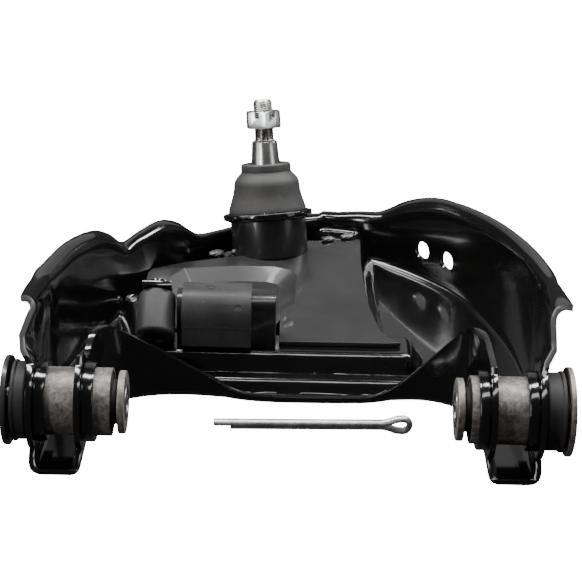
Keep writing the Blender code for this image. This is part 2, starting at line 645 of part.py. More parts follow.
def boot_lean(t):
    """The boot leaves the housing square to it and ends square to the stud."""
    f = float(rise(t, 19.0, 38.0))
    return HOUSING_AXIS / np.linalg.norm(HOUSING_AXIS) * (1.0 - f) + STUD_AXIS / np.linalg.norm(STUD_AXIS) * f


def boot():
    h = HOUSING_AXIS
    revolve("boot_ring", [(28.4, 12.0), (29.6, 12.0), (33.0, 13.4), (33.0, 17.4), (31.0, 17.8), (28.4, 17.0)], BALL, h,
            PAINT, 40)
    revolve("boot_skirt", [(28.8, 18.1), (28.4, 21.4), (27.3, 25.0), (25.7, 30.0), (24.8, 34.0), (24.3, 37.9),
            (21.9, 37.9), (22.4, 34.0), (23.6, 29.0), (25.4, 24.0), (26.3, 18.1)], BALL, h, RUBBER, 40,
            lean=boot_lean)
    s = STUD_AXIS
    revolve("boot_dome", [(24.3, 38.4), (24.1, 39.8), (23.3, 42.0), (21.6, 44.4), (19.4, 46.6), (18.5, 48.2),
            (14.0, 48.2), (14.6, 46.4), (18.4, 44.2), (20.8, 41.4), (21.9, 38.4)], BALL, s, RUBBER, 40, origin=BALL)
    revolve("boot_collar", [(18.4, 48.5), (18.4, 53.2), (17.8, 53.8), (11.9, 53.8), (11.7, 52.0), (11.7, 48.5)], BALL,
            s, RUBBER, 40, origin=BALL)


def castle_nut():
    """Heavy hexagon with six slots cut in its top."""
    u, v, w = axes_of(STUD_AXIS)
    base = BALL + w * 80.0
    nut = revolve("castle_nut", [(7.35, 0.0), (13.2, 0.0), (14.2, 1.2), (14.2, 10.8), (12.4, 12.6), (7.35, 12.6)],
                  base, STUD_AXIS, ZINC, 48, origin=base)
    flats = []
    for k in range(6):
        a = math.pi / 3 * k + math.radians(8)
        d = u * math.cos(a) + v * math.sin(a)
        side = np.cross(w, d)
        box = []
        for p in ((11.9, -20), (30, -20), (30, 20), (11.9, 20)):
            for t in (-5.0, 20.0):
                box.append(base + d * p[0] + side * p[1] + w * t)
        faces = [(0, 2, 4, 6), (1, 7, 5, 3), (0, 1, 3, 2), (2, 3, 5, 4), (4, 5, 7, 6), (6, 7, 1, 0)]
        flats.append(solid(f"nut_flat_{k}", box, faces, ZINC, cutter=True))
    slots = []
    for k in range(3):
        a = math.pi / 3 * k + math.radians(8)
        d = u * math.cos(a) + v * math.sin(a)
        side = np.cross(w, d)
        box = []
        for p in ((-20, -1.9), (20, -1.9), (20, 1.9), (-20, 1.9)):
            for t in (7.6, 20.0):
                box.append(base + d * p[0] + side * p[1] + w * t)
        faces = [(0, 2, 4, 6), (1, 7, 5, 3), (0, 1, 3, 2), (2, 3, 5, 4), (4, 5, 7, 6), (6, 7, 1, 0)]
        slots.append(solid(f"nut_slot_{k}", box, faces, ZINC, cutter=True))
    return cut(nut, *flats, *slots)


def cotter_pin():
    """Split pin on the floor between the legs: two half-round legs, one shorter, joined by an eye."""
    line = [(-50.0, 0.15), (-10.0, 0.15), (30.0, 0.15), (54.0, 0.15), (57.0, 0.35), (59.5, 0.95), (61.5, 1.7),
            (63.5, 2.5), (65.5, 3.05), (68.0, 3.3)]
    line += arc(68.0, 0.0, 3.3, 90, -90, 12)[1:]
    line += [(x, -z) for x, z in line[8:2:-1]] + [(30.0, -0.15), (-5.0, -0.15), (-39.5, -0.15)]
    pts = np.array(line)
    seg = np.diff(pts, axis=0)
    seg = seg / np.linalg.norm(seg, axis=1)[:, None]
    tang = np.concatenate([seg[:1], seg[:-1] + seg[1:], seg[-1:]])
    tang = tang / np.linalg.norm(tang, axis=1)[:, None]
    bow = [(-3.05, 0.0)] + [(3.3 * math.sin(math.radians(a)), 3.2 * math.cos(math.radians(a)))
                            for a in (-75, -50, -25, 0, 25, 50, 75)] + [(3.05, 0.0)]
    sides = len(bow)
    verts = []
    for (x, z), t in zip(pts, tang):
        for b, d in bow:
            px = x - t[1] * d
            verts.append((px + 1.8, 31.3 - 0.021 * px + b, z + t[0] * d - 28.45 - PIN_SLOPE * (68.0 - px)))
    n = len(pts)
    faces = [tuple(range(sides)), tuple(range(n * sides - 1, (n - 1) * sides - 1, -1))]
    for k in range(n - 1):
        for j in range(sides):
            m = (j + 1) % sides
            faces.append((k * sides + j, k * sides + m, (k + 1) * sides + m, (k + 1) * sides + j))
    return solid("cotter_pin", verts, faces, ZINC)


# ---------------------------------------------------------------- build
stamping()
closing_plate()
weld("weld_left_far", [(-62.4, 245.3, PLATE_TOP - 3.2), (-51.6, 249.1, PLATE_TOP - 3.2)], 4.0)
weld("weld_right_near", [(21.0, 276.4, PLATE_TOP - 3.2), (30.0, 280.6, PLATE_TOP - 3.2)], 3.4)
weld("weld_right_far", [(35.4, 282.6, PLATE_TOP - 3.2), (44.6, 286.4, PLATE_TOP - 3.2)], 3.6)
bumper_pieces()
bushing("left", LEFT, -1)
bushing("right", RIGHT, 1)
ball_joint()
ball_stud()
boot()
castle_nut()
cotter_pin()
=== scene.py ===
"""Looks of the stamped control arm: fine pressed sheet, worn gloss paint, rubber, zinc and machined steel."""

import math

import bmesh
import bpy
import numpy as np
from mathutils import Matrix, Vector
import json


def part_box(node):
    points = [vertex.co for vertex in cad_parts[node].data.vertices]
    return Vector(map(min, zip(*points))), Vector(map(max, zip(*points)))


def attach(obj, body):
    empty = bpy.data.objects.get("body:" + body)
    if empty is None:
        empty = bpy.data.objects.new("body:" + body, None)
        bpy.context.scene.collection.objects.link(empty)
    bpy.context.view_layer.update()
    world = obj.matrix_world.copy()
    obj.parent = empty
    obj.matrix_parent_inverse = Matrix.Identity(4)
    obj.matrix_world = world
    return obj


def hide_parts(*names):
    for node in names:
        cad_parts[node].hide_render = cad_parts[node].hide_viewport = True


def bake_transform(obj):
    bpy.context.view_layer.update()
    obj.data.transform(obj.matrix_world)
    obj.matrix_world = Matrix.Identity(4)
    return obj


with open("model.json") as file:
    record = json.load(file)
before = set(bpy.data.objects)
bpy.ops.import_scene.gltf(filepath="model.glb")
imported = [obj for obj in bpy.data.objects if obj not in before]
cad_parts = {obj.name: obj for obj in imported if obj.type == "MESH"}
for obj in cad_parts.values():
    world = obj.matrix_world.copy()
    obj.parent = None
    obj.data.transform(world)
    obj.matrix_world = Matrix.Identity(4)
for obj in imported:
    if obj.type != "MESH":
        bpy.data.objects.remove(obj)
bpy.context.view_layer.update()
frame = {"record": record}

# ---------------------------------------------------------------- frame
# The script works in millimetres, from the middle of the bushings' axis.
JOINTS = {j["name"]: j for j in frame["record"]["behaviour"]["joints"]}


def node_mid(name):
    lo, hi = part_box(name)
    return 0.5 * (np.array(lo, float) + np.array(hi, float)) * 1000.0


# Places along the bushing axis, from the arm's middle: each pair is where a piece starts and ends.
LEFT = dict(washer_out=(167.8, 171.0), flange=(156.6, 165.9), sleeve=(107.0, 152.4), neck=(103.3, 107.0),
            washer_in=(98.8, 103.0), collars=((145.0, 151.7), (116.6, 123.5)))
RIGHT = dict(washer_out=(164.6, 167.8), flange=(151.0, 162.7), sleeve=(107.0, 149.6), neck=(103.3, 107.0),
             washer_in=(98.8, 103.0), collars=((140.0, 146.2), (111.0, 117.3)))

LEFT_TIP = np.array(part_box("bushing_inner_sleeve_left")[0], float) * 1000.0
SLEEVE_MID = node_mid("bushing_sleeve_left")
SHIFT = np.array([LEFT_TIP[0] + LEFT["washer_out"][1], SLEEVE_MID[1], SLEEVE_MID[2]])
BALL = np.array(JOINTS["stud_spin"]["pos_m"], float) * 1000.0 - SHIFT
STUD_AXIS = np.array(JOINTS["stud_spin"]["axis"], float)
HOUSING_AXIS = np.array([-math.tan(math.radians(5.8)), math.tan(math.radians(18.8)), 1.0])
HOUSING_AXIS /= np.linalg.norm(HOUSING_AXIS)

SHEET = 3.5
FLOOR = -33.25
BED = -13.05
CLEAR = 0.3
SLEEVE_R = 20.5
BORE_R = 7.2
INNER_R = 10.5
COLLAR_R = 24.2
EYE_R = 29.0
BALL_R = 16.0
HOUSING_R = 28.0
PLATE_TOP = -8.0
PLATE_T = 3.0
RECESS = 8.0
BOLT_HOLE_R = 4.4
NUT_HALF_FLATS = 6.5
NUT_BORE_R = 4.3
WALL_HOLE_R = 6.8
WALL_HOLES = ((97.0, 262.0, -10.1), (114.9, 243.0, -9.4))
WALL_HOLE_AXIS = (0.76, 0.64, 0.0)
PIN_HOLE_AT = 91.6
PIN_HOLE_R = 1.9
NUT_SEAT = 80.0
ROUND = 112


# ---------------------------------------------------------------- node materials
class Nodes:
    """A small builder for procedural materials."""

    def __init__(self, name):
        self.mat = bpy.data.materials.new(name)
        self.mat.use_nodes = True
        self.tree = self.mat.node_tree
        self.shader = self.tree.nodes["Principled BSDF"]
        self.coord = self.node("ShaderNodeTexCoord")

    def node(self, kind):
        return self.tree.nodes.new(kind)

    def link(self, a, b):
        self.tree.links.new(a, b)

    def feed(self, value, socket):
        """Links a socket's value, or sets a plain one."""
        if isinstance(value, bpy.types.NodeSocket):
            self.link(value, socket)
        elif socket.type == "RGBA":
            socket.default_value = self.rgba(value)
        else:
            socket.default_value = value

    def noise(self, scale, detail=4.0, rough=0.55, distortion=0.0):
        n = self.node("ShaderNodeTexNoise")
        n.inputs["Scale"].default_value = scale
        n.inputs["Detail"].default_value = detail
        n.inputs["Roughness"].default_value = rough
        n.inputs["Distortion"].default_value = distortion
        self.link(self.coord.outputs["Object"], n.inputs["Vector"])
        return n.outputs["Fac"]

    def ramp(self, fac, stops):
        n = self.node("ShaderNodeValToRGB")
        el = n.color_ramp.elements
        while len(el) > 1:
            el.remove(el[-1])
        el[0].position = stops[0][0]
        el[0].color = self.rgba(stops[0][1])
        for pos, col in stops[1:]:
            el.new(pos).color = self.rgba(col)
        self.link(fac, n.inputs["Fac"])
        return n.outputs["Color"]

    @staticmethod
    def rgba(c):
        return (c, c, c, 1.0) if isinstance(c, (int, float)) else (*c, 1.0)

    def mix(self, fac, a, b):
        n = self.node("ShaderNodeMix")
        n.data_type = "RGBA"
        for value, socket in ((fac, n.inputs[0]), (a, n.inputs[6]), (b, n.inputs[7])):
            self.feed(value, socket)
        return n.outputs[2]

    def math(self, op, a, b=0.0):
        n = self.node("ShaderNodeMath")
        n.operation = op
        self.feed(a, n.inputs[0])
        self.feed(b, n.inputs[1])
        return n.outputs[0]

    def bump(self, height, strength, distance, before=None):
        n = self.node("ShaderNodeBump")
        n.inputs["Strength"].default_value = strength
        n.inputs["Distance"].default_value = distance
        self.link(height, n.inputs["Height"])
        if before is not None:
            self.link(before, n.inputs["Normal"])
        return n.outputs["Normal"]

    def edges(self, samples=6, distance=0.0012):
        """Bright where the surface turns a corner."""
        bevel = self.node("ShaderNodeBevel")
        bevel.samples = samples
        bevel.inputs["Radius"].default_value = distance
        geo = self.node("ShaderNodeNewGeometry")
        dot = self.node("ShaderNodeVectorMath")
        dot.operation = "DOT_PRODUCT"
        self.link(bevel.outputs["Normal"], dot.inputs[0])
        self.link(geo.outputs["Normal"], dot.inputs[1])
        return self.math("SUBTRACT", 1.0, dot.outputs["Value"])

    def put(self, **values):
        for key, value in values.items():
            self.feed(value, self.shader.inputs[key.replace("_", " ")])
        return self.mat


def gloss_paint(name, base=0.0035, rough=(0.10, 0.20), coat=0.8, weave=1.0, dust=0.10):
    """Thick dipped paint: near black, glossy, faintly wavy, with a little dust and rubbed corners."""
    n = Nodes(name)
    cloud = n.noise(26.0, 5.0, 0.6)
    fine = n.noise(520.0, 2.0, 0.5)
    specks = n.ramp(n.noise(230.0, 6.0, 0.7), [(0.68, 0.0), (0.76, 1.0)])
    tint = n.ramp(cloud, [(0.30, (base * 0.8, base * 0.8, base * 0.85)),
                          (0.70, (base * 1.5, base * 1.46, base * 1.42))])
    worn = n.ramp(n.edges(), [(0.12, 0.0), (0.45, 1.0)])
    scuff = n.math("MULTIPLY", worn, n.ramp(n.noise(75.0, 4.0, 0.6), [(0.46, 0.0), (0.60, 0.9)]))
    colour = n.mix(n.math("MULTIPLY", specks, dust), tint, (0.07, 0.068, 0.065))
    colour = n.mix(n.math("MULTIPLY", scuff, 0.30), colour, (0.16, 0.155, 0.15))
    roughness = n.mix(cloud, rough[0], rough[1])
    roughness = n.mix(specks, roughness, 0.40)
    waves = n.bump(n.noise(38.0, 2.0, 0.5), 0.10 * weave, 0.0012)
    peel = n.bump(fine, 0.02 * weave, 0.0003, waves)
    return n.put(Base_Color=colour, Roughness=roughness, Normal=peel, Coat_Weight=coat, Coat_Roughness=0.07,
                 Specular_IOR_Level=0.5)


def moulded_rubber(name, base=0.020, rough=0.62, scale=1.0):
    """Matt black rubber with a grey bloom, dust in its pores and a fine grain."""
    n = Nodes(name)
    cloud = n.noise(40.0 * scale, 5.0, 0.65)
    bloom = n.noise(12.0 * scale, 3.0, 0.6)
    grain = n.noise(1400.0, 3.0, 0.6)
    dusty = n.ramp(n.noise(220.0 * scale, 6.0, 0.72), [(0.60, 0.0), (0.72, 1.0)])
    tint = n.ramp(cloud, [(0.25, (base * 0.7, base * 0.7, base * 0.72)),
                          (0.75, (base * 1.6, base * 1.55, base * 1.5))])
    colour = n.mix(n.math("MULTIPLY", n.ramp(bloom, [(0.42, 0.0), (0.70, 1.0)]), 0.30), tint,
                   (base * 3.2, base * 3.1, base * 3.0))
    colour = n.mix(n.math("MULTIPLY", dusty, 0.22), colour, (0.16, 0.155, 0.15))
    roughness = n.mix(cloud, rough - 0.10, rough + 0.12)
    skin = n.bump(grain, 0.16, 0.0004)
    lumps = n.bump(n.noise(90.0, 3.0, 0.5), 0.10, 0.0008, skin)
    return n.put(Base_Color=colour, Roughness=roughness, Normal=lumps, Specular_IOR_Level=0.42)


def metal(name, low, high, rough=(0.22, 0.38), blotch=30.0, stain=None, grain=0.08):
    """Bare or plated metal, clouded between two tones, with stains where stain is given."""
    n = Nodes(name)
    cloud = n.noise(blotch, 6.0, 0.68, distortion=0.4)
    colour = n.ramp(cloud, [(0.32, low), (0.68, high)])
    if stain is not None:
        spots = n.ramp(n.noise(blotch * 4.3, 7.0, 0.75, distortion=0.8), [(0.50, 0.0), (0.66, 1.0)])
        colour = n.mix(n.math("MULTIPLY", spots, 0.75), colour, stain)
    roughness = n.mix(cloud, rough[0], rough[1])
    normal = n.bump(n.noise(700.0, 4.0, 0.6), grain, 0.0004)
    return n.put(Base_Color=colour, Roughness=roughness, Metallic=1.0, Normal=normal)


def phosphate(name, bright=1.0):
    """Bare tube between the ears: brown-grey, blotched, half matt, with dark oil marks."""
    n = Nodes(name)
    cloud = n.noise(55.0, 7.0, 0.72, distortion=0.6)
    spots = n.noise(210.0, 6.0, 0.75, distortion=1.0)
    drops = n.ramp(n.noise(130.0, 5.0, 0.7), [(0.58, 0.0), (0.70, 1.0)])
    tones = ((0.30, (0.085, 0.076, 0.068)), (0.50, (0.20, 0.182, 0.165)), (0.72, (0.36, 0.335, 0.31)))
    colour = n.ramp(cloud, [(at, tuple(c * 0.78 * bright for c in tone)) for at, tone in tones])
    spotted = n.math("MULTIPLY", n.ramp(spots, [(0.45, 0.0), (0.62, 1.0)]), 0.55)
    colour = n.mix(spotted, colour, (0.47, 0.445, 0.415))
    colour = n.mix(n.math("MULTIPLY", drops, 0.70), colour, (0.035, 0.03, 0.027))
    roughness = n.mix(spots, 0.36, 0.62)
    normal = n.bump(spots, 0.30, 0.0005)
    return n.put(Base_Color=colour, Roughness=roughness, Metallic=0.55, Normal=normal, Specular_IOR_Level=0.5)


def weld_metal(name):
    """Painted-over weld: dark, lumpy, with bright rubbed tops."""
    n = Nodes(name)
    cloud = n.noise(240.0, 6.0, 0.75, distortion=0.7)
    colour = n.ramp(cloud, [(0.35, (0.05, 0.048, 0.046)), (0.62, (0.17, 0.165, 0.16)),
                            (0.80, (0.42, 0.41, 0.40))])
    normal = n.bump(cloud, 0.65, 0.0010)
    return n.put(Base_Color=colour, Roughness=n.mix(cloud, 0.22, 0.55), Metallic=0.35, Normal=normal,
                 Coat_Weight=0.4)


def polymer(name):
    """Off-white bearing plastic."""
    n = Nodes(name)
    cloud = n.noise(80.0, 4.0, 0.6)
    colour = n.ramp(cloud, [(0.3, (0.62, 0.60, 0.52)), (0.7, (0.74, 0.72, 0.64))])
    return n.put(Base_Color=colour, Roughness=n.mix(cloud, 0.38, 0.5),
                 Normal=n.bump(n.noise(500.0), 0.06, 0.0003))


PAINT = gloss_paint("arm_paint")
PLATE_PAINT = gloss_paint("plate_paint", base=0.014, rough=(0.34, 0.44), coat=0.25, weave=0.4, dust=0.06)
CAST_PAINT = gloss_paint("cast_paint", base=0.010, rough=(0.26, 0.40), coat=0.3, weave=2.5)
# Lighter paint for the ears' front cut edges: a painted highlight.
CUT_EDGE_HIGHLIGHT = gloss_paint("cut_edge_painted_highlight", base=0.05, rough=(0.26, 0.40), coat=0.5, weave=3.0, dust=0.5)
WASHER_PAINT = gloss_paint("washer_paint", base=0.020, rough=(0.28, 0.42), coat=0.3, weave=2.0, dust=0.8)
RUBBER = moulded_rubber("bushing_rubber")
BUMPER_RUBBER = moulded_rubber("bumper_rubber", base=0.030, rough=0.46)
BOOT_RUBBER = moulded_rubber("boot_rubber", base=0.034, rough=0.56, scale=0.8)
SLEEVE = phosphate("sleeve_phosphate")
WORN_STEEL = phosphate("worn_washer", 1.25)
BARE = metal("bare_steel", (0.34, 0.33, 0.32), (0.58, 0.57, 0.55), stain=(0.16, 0.14, 0.12))
ZINC = metal("zinc_plate", (0.70, 0.72, 0.75), (0.92, 0.93, 0.94), rough=(0.16, 0.28), blotch=70.0, grain=0.06)
PIN_ZINC = metal("pin_zinc", (0.46, 0.46, 0.46), (0.80, 0.80, 0.79), rough=(0.26, 0.44), blotch=140.0,
                 stain=(0.30, 0.30, 0.30), grain=0.25)
THREAD = metal("thread_steel", (0.30, 0.29, 0.28), (0.66, 0.65, 0.63), rough=(0.18, 0.36), blotch=200.0,
               stain=(0.12, 0.11, 0.10))
GROUND = metal("ground_taper", (0.66, 0.65, 0.64), (0.84, 0.83, 0.82), rough=(0.20, 0.30), blotch=60.0)
WELD = weld_metal("weld_bead")
POLYMER = polymer("bearing_polymer")


# ---------------------------------------------------------------- mesh helpers
def row(p):
    """Metres in the shared frame, from the script's own millimetres."""
    return (np.asarray(p, float) + SHIFT) * 0.001


def mesh_object(name, verts, faces, mat, sharp=32.0):
    bm = bmesh.new()
    made = [bm.verts.new(p) for p in row(verts)]
    for f in faces:
        bm.faces.new([made[i] for i in f])
    bmesh.ops.recalc_face_normals(bm, faces=bm.faces)
    mesh = bpy.data.meshes.new(name)
    bm.to_mesh(mesh)
    bm.free()
    mesh.materials.append(mat)
    obj = bpy.data.objects.new(name, mesh)
    bpy.context.scene.collection.objects.link(obj)
    shade(obj, sharp)
    return obj


def shade(obj, sharp=32.0):
    mesh = obj.data
    mesh.polygons.foreach_set("use_smooth", [True] * len(mesh.polygons))
    mesh.set_sharp_from_angle(angle=math.radians(sharp))
    mesh.update()


def finish_piece(obj, body, nodes=(), blend=None):
    """Hides the CAD nodes a piece stands for, then attaches it to its body, or bakes its transform when blend
    is given.
    """
    if nodes:
        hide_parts(*nodes)
    if blend:
        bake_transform(obj)
    else:
        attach(obj, body)
    return obj


def axes_of(direction):
    """Two crossways unit axes and the unit direction itself."""
    w = np.asarray(direction, float)
    w = w / np.linalg.norm(w)
    ref = np.array([1.0, 0.0, 0.0]) if abs(w[0]) < 0.9 else np.array([0.0, 1.0, 0.0])
    v = np.cross(w, ref)
    v = v / np.linalg.norm(v)
    return np.cross(v, w), v, w


def fillet(points, radius, n=4, closed=True):
    """Rounds the corners of a line of 2-D points. A radius can be given for each point."""
    pts = [np.asarray(p, float) for p in points]
    count = len(pts)
    out = []
    for i, p in enumerate(pts):
        r = radius[i] if isinstance(radius, (list, tuple)) else radius
        if r <= 0 or (not closed and i in (0, count - 1)):
            out.append(p)
            continue
        a = pts[i - 1] - p
        b = pts[(i + 1) % count] - p
        la, lb = np.linalg.norm(a), np.linalg.norm(b)
        a, b = a / la, b / lb
        cosang = float(np.clip(a @ b, -1, 1))
        half = 0.5 * math.acos(cosang)
        if half > math.radians(87.5):
            out.append(p)
            continue
        back = min(r / math.tan(half), 0.46 * la, 0.46 * lb)
        p0, p1 = p + a * back, p + b * back
        for k in range(n + 1):
            t = k / n
            out.append((1 - t) ** 2 * p0 + 2 * t * (1 - t) * p + t * t * p1)
    return [tuple(q) for q in out]


def skin(rings):
    """Faces between neighbouring rings, and from the last to the first. A ring of one vertex is a tip."""
    faces = []
    for a, b in zip(rings, rings[1:] + rings[:1]):
        if len(a) == 1 and len(b) == 1:
            continue
        steps = max(len(a), len(b))
        for k in range(steps):
            n = (k + 1) % steps
            if len(a) == 1:
                faces.append((a[0], b[k], b[n]))
            elif len(b) == 1:
                faces.append((a[k], b[0], a[n]))
            else:
                faces.append((a[k], b[k], b[n], a[n]))
    return faces


def sweep_faces(count, sides):
    """Faces of a closed bar made of count sections, each with the same number of points."""
    faces = [tuple(range(sides)), tuple(range(count * sides - 1, (count - 1) * sides - 1, -1))]
    for k in range(count - 1):
        for j in range(sides):
            m = (j + 1) % sides
            faces.append((k * sides + j, k * sides + m, (k + 1) * sides + m, (k + 1) * sides + j))
    return faces


def revolve(name, profile, centre, direction, mat, steps=96, sharp=32.0, lean=None):
    """A body turned round an axis. lean gives the axis at each height, for a body that bends sideways."""
    c = np.asarray(centre, float)
    verts = []
    rings = []
    for r, t in profile:
        u, v, w = axes_of(direction if lean is None else lean(t))
        if r < 1e-9:
            rings.append([len(verts)])
            verts.append(c + w * t)
            continue
        ring = []
        for k in range(steps):
            a = 2.0 * math.pi * k / steps
            ring.append(len(verts))
            verts.append(c + w * t + r * (u * math.cos(a) + v * math.sin(a)))
        rings.append(ring)
    return mesh_object(name, verts, skin(rings), mat, sharp)


def prism(name, outline, lo, hi, mat):
    """An outline of y, z points drawn out along X."""
    verts = [(x, y, z) for x in (lo, hi) for y, z in outline]
    return mesh_object(name, verts, sweep_faces(2, len(outline)), mat)


def strip_loop(path, thickness):
    """Outline of a bent strip: the path's own points, then the offset ones back."""
    p = np.asarray(path, float)
    seg = np.diff(p, axis=0)
    seg = seg / np.linalg.norm(seg, axis=1)[:, None]
    left = np.stack([-seg[:, 1], seg[:, 0]], axis=1)
    offs = [left[0]]
    for a, b in zip(left[:-1], left[1:]):
        m = a + b
        offs.append(m / max(1e-6, float(m @ a)))
    offs.append(left[-1])
    inner = p + thickness * np.array(offs)
    return [tuple(q) for q in np.concatenate([p, inner[::-1]])]


def bake(obj, sharp=32.0):
    """Applies an object's modifiers and shades the result."""
    bpy.context.view_layer.update()
    graph = bpy.context.evaluated_depsgraph_get()
    mesh = bpy.data.meshes.new_from_object(obj.evaluated_get(graph))
    obj.modifiers.clear()
    obj.data = mesh
    shade(obj, sharp)
    return obj


def cut(obj, tools):
    """Takes the tools out of an object, and then removes them."""
    for tool in tools:
        m = obj.modifiers.new(tool.name, "BOOLEAN")
        m.operation = "DIFFERENCE"
        m.object = tool
        m.solver = "EXACT"
    bake(obj)
    for tool in tools:
        bpy.data.objects.remove(tool, do_unlink=True)
    return obj


def bore(name, radius, lo, hi, centre, direction, steps=96, mat=PAINT):
    """A plain round cutter from lo to hi along its axis."""
    return revolve(name, [(0, lo), (radius, lo), (radius, hi), (0, hi)], centre, direction, mat, steps)


def round_edges(obj, width, segments=3, angle=35.0, sharp=45.0):
    m = obj.modifiers.new("round_edges", "BEVEL")
    m.width = width * 0.001
    m.segments = segments
    m.limit_method = "ANGLE"
    m.angle_limit = math.radians(angle)
    return bake(obj, sharp)


def smooth(t):
    t = np.clip(t, 0.0, 1.0)
    return t * t * (3.0 - 2.0 * t)


def rise(x, start, end):
    return smooth((x - start) / (end - start))


def arc(cx, cy, r, start, end, n):
    """Points of an arc, both ends included; angles in degrees."""
    turns = [math.radians(start + (end - start) * i / n) for i in range(n + 1)]
    return [(cx + r * math.cos(a), cy + r * math.sin(a)) for a in turns]


# ---------------------------------------------------------------- main stamping
# Inner path x, y; outer path x, y; inner wall top; rim height; outward lean of the outer wall.
STATIONS = [
    (-125.6, -32, -153.8, -32, 31.0, 60.0, 0.0),
    (-125.6, -14, -153.8, -14, 31.0, 60.0, 0.0),
    (-125.6, 2, -153.8, 2, 31.0, 59.0, 0.0),
    (-125.6, 16, -153.8, 17, 21.0, 58.0, 0.0),
    (-125.4, 30, -155.5, 34, 18.0, 55.0, -2.0),
    (-123.0, 43, -160.5, 64, 24.5, 50.0, -7.0),
    (-116.0, 54, -153.5, 95, 24.5, 46.5, -3.5),
    (-106.5, 62, -144.5, 130, 16.5, 43.5, -1.0),
    (-95.0, 66.5, -133.5, 160, 8.0, 36.5, 1.5),
    (-86.0, 68.7, -126.0, 179, 2.0, 26.5, 1.5),
    (-78.0, 69.6, -118.0, 193, -3.5, 14.5, 1.5),
    (-69.0, 70, -107.0, 208, -9.0, 16.5, 2.5),
    (-59.0, 69.5, -95.0, 226, -14.5, 17.0, 3.0),
    (-49.0, 68.5, -84.0, 241, -19.5, 10.0, 3.0),
    (-39.0, 67.3, -71.0, 256, -25.5, -3.5, 2.0),
    (-29.0, 66.3, -55.0, 273, -28.3, -7.0, 1.5),
    (-18.0, 65.5, -37.5, 288.5, -29.3, -8.0, 1.0),
    (-6.0, 65, -17.0, 299.5, -29.5, -8.0, 0.0),
    (7.0, 65, 5.0, 302.5, -29.5, -5.0, 0.0),
    (21.0, 65.2, 27.0, 302.5, -29.5, -2.4, 0.0),
    (36.0, 65.8, 48.0, 297.5, -29.5, 0.6, 1.0),
    (52.0, 67, 66.0, 288.0, -29.0, 4.5, 2.0),
    (66.0, 68.5, 85.0, 272.5, -23.0, 18.5, 3.0),
    (80.0, 69.5, 103.0, 254, -11.0, 28.0, 3.0),
    (92.0, 67.5, 121.0, 230, 3.0, 32.0, 3.0),
    (102.5, 62.5, 135.5, 201, 17.0, 35.5, 3.0),
    (111.0, 55, 147.0, 166, 28.0, 39.0, 3.0),
    (117.0, 43, 155.0, 125, 31.0, 43.0, 2.5),
    (119.2, 30, 157.5, 80, 30.5, 48.0, 1.5),
    (119.4, 18, 152.6, 46, 30.5, 54.0, 1.0),
    (119.4, 6, 148.3, 24, 31.0, 58.0, 0.5),
    (119.4, -4, 148.3, 5, 31.0, 60.0, 0.0),
    (119.4, -18, 148.3, -12, 31.0, 61.0, 0.0),
    (119.4, -32, 148.3, -32, 31.0, 61.0, 0.0),
]
FLOOR_T = [0.0, 0.035, 0.065, 0.10, 0.135, 0.18, 0.24, 0.34, 0.46, 0.58, 0.69, 0.79, 0.87, 0.94, 1.0]


def plate_right(y):
    """X of the closing plate's right edge."""
    return float(np.interp(y, [100, 106, 124, 163, 200, 233, 276], [74.0, 70.0, 57.7, 52.0, 50.0, 49.0, 49.5]))


def floor_height(x, y):
    """The pan's floor: two steps at the front, the bed that the plate lies on, and a shelf on the left."""
    z = FLOOR
    middle = rise(x, -104, -90) * (1.0 - rise(x, 74, 88))
    low_step = rise(y, 73, 80) * middle
    z += 8.0 * low_step * (1.0 - rise(y, 120, 140))
    front = rise(y, 86.5, 94) * (1.0 - rise(y, 117, 129)) * middle
    side = rise(y, 86.5, 94) * rise(x, 8, 22) * (1.0 - rise(x, plate_right(y) - 3, plate_right(y) + 11))
    round_bed = 1.0 - rise(math.hypot(x - BALL[0], y - BALL[1] + 3.0), 37, 50)
    fade = float(np.interp(x, [-60, -35, 0, 12], [246, 264, 276, 279]))
    round_bed *= 1.0 - rise(y, fade, fade + 11)
    back = rise(y, 224, 238) * rise(x, -62, -48) * (1.0 - rise(x, 46, 60)) * (1.0 - rise(y, fade, fade + 11))
    bed = max(front, side, round_bed, back)
    z = z + (BED - z) * bed
    shelf_edge = -105.0 - (y - 90.0) * 0.179
    shelf = rise(x, shelf_edge - 1, shelf_edge + 8) * (1.0 - rise(x, -84, -64))
    shelf *= rise(y, 84, 97) * (1.0 - rise(y, 190, 214))
    return max(z, FLOOR + 11.2 * shelf)


def spline(rows, count):
    """Catmull-Rom curve through the rows, at evenly spaced steps."""
    rows = np.asarray(rows, float)
    n = len(rows)
    out = []
    for k in range(count):
        s = k * (n - 1) / (count - 1)
        i = min(int(s), n - 2)
        f = s - i
        p0, p1, p2, p3 = rows[max(i - 1, 0)], rows[i], rows[i + 1], rows[min(i + 2, n - 1)]
        out.append(0.5 * (2 * p1 + (p2 - p0) * f + (2 * p0 - 5 * p1 + 4 * p2 - p3) * f * f
                          + (3 * p1 - p0 - 3 * p2 + p3) * f * f * f))
    return np.array(out)


def press(ox, y, z):
    """How far the outer wall stands out beside the ear, to reach its flat face."""
    wall = 155.8 if ox > 0 else 161.0
    step = max(0.0, wall - abs(ox)) * (1.0 - rise(y, 60, 90))
    if ox < 0:
        step *= 1.0 - 0.95 * rise(z, 38, 58)
    return step * rise(math.hypot(max(0.0, y), max(0.0, z)), 30.0 if ox > 0 else 27.0, 37.0)


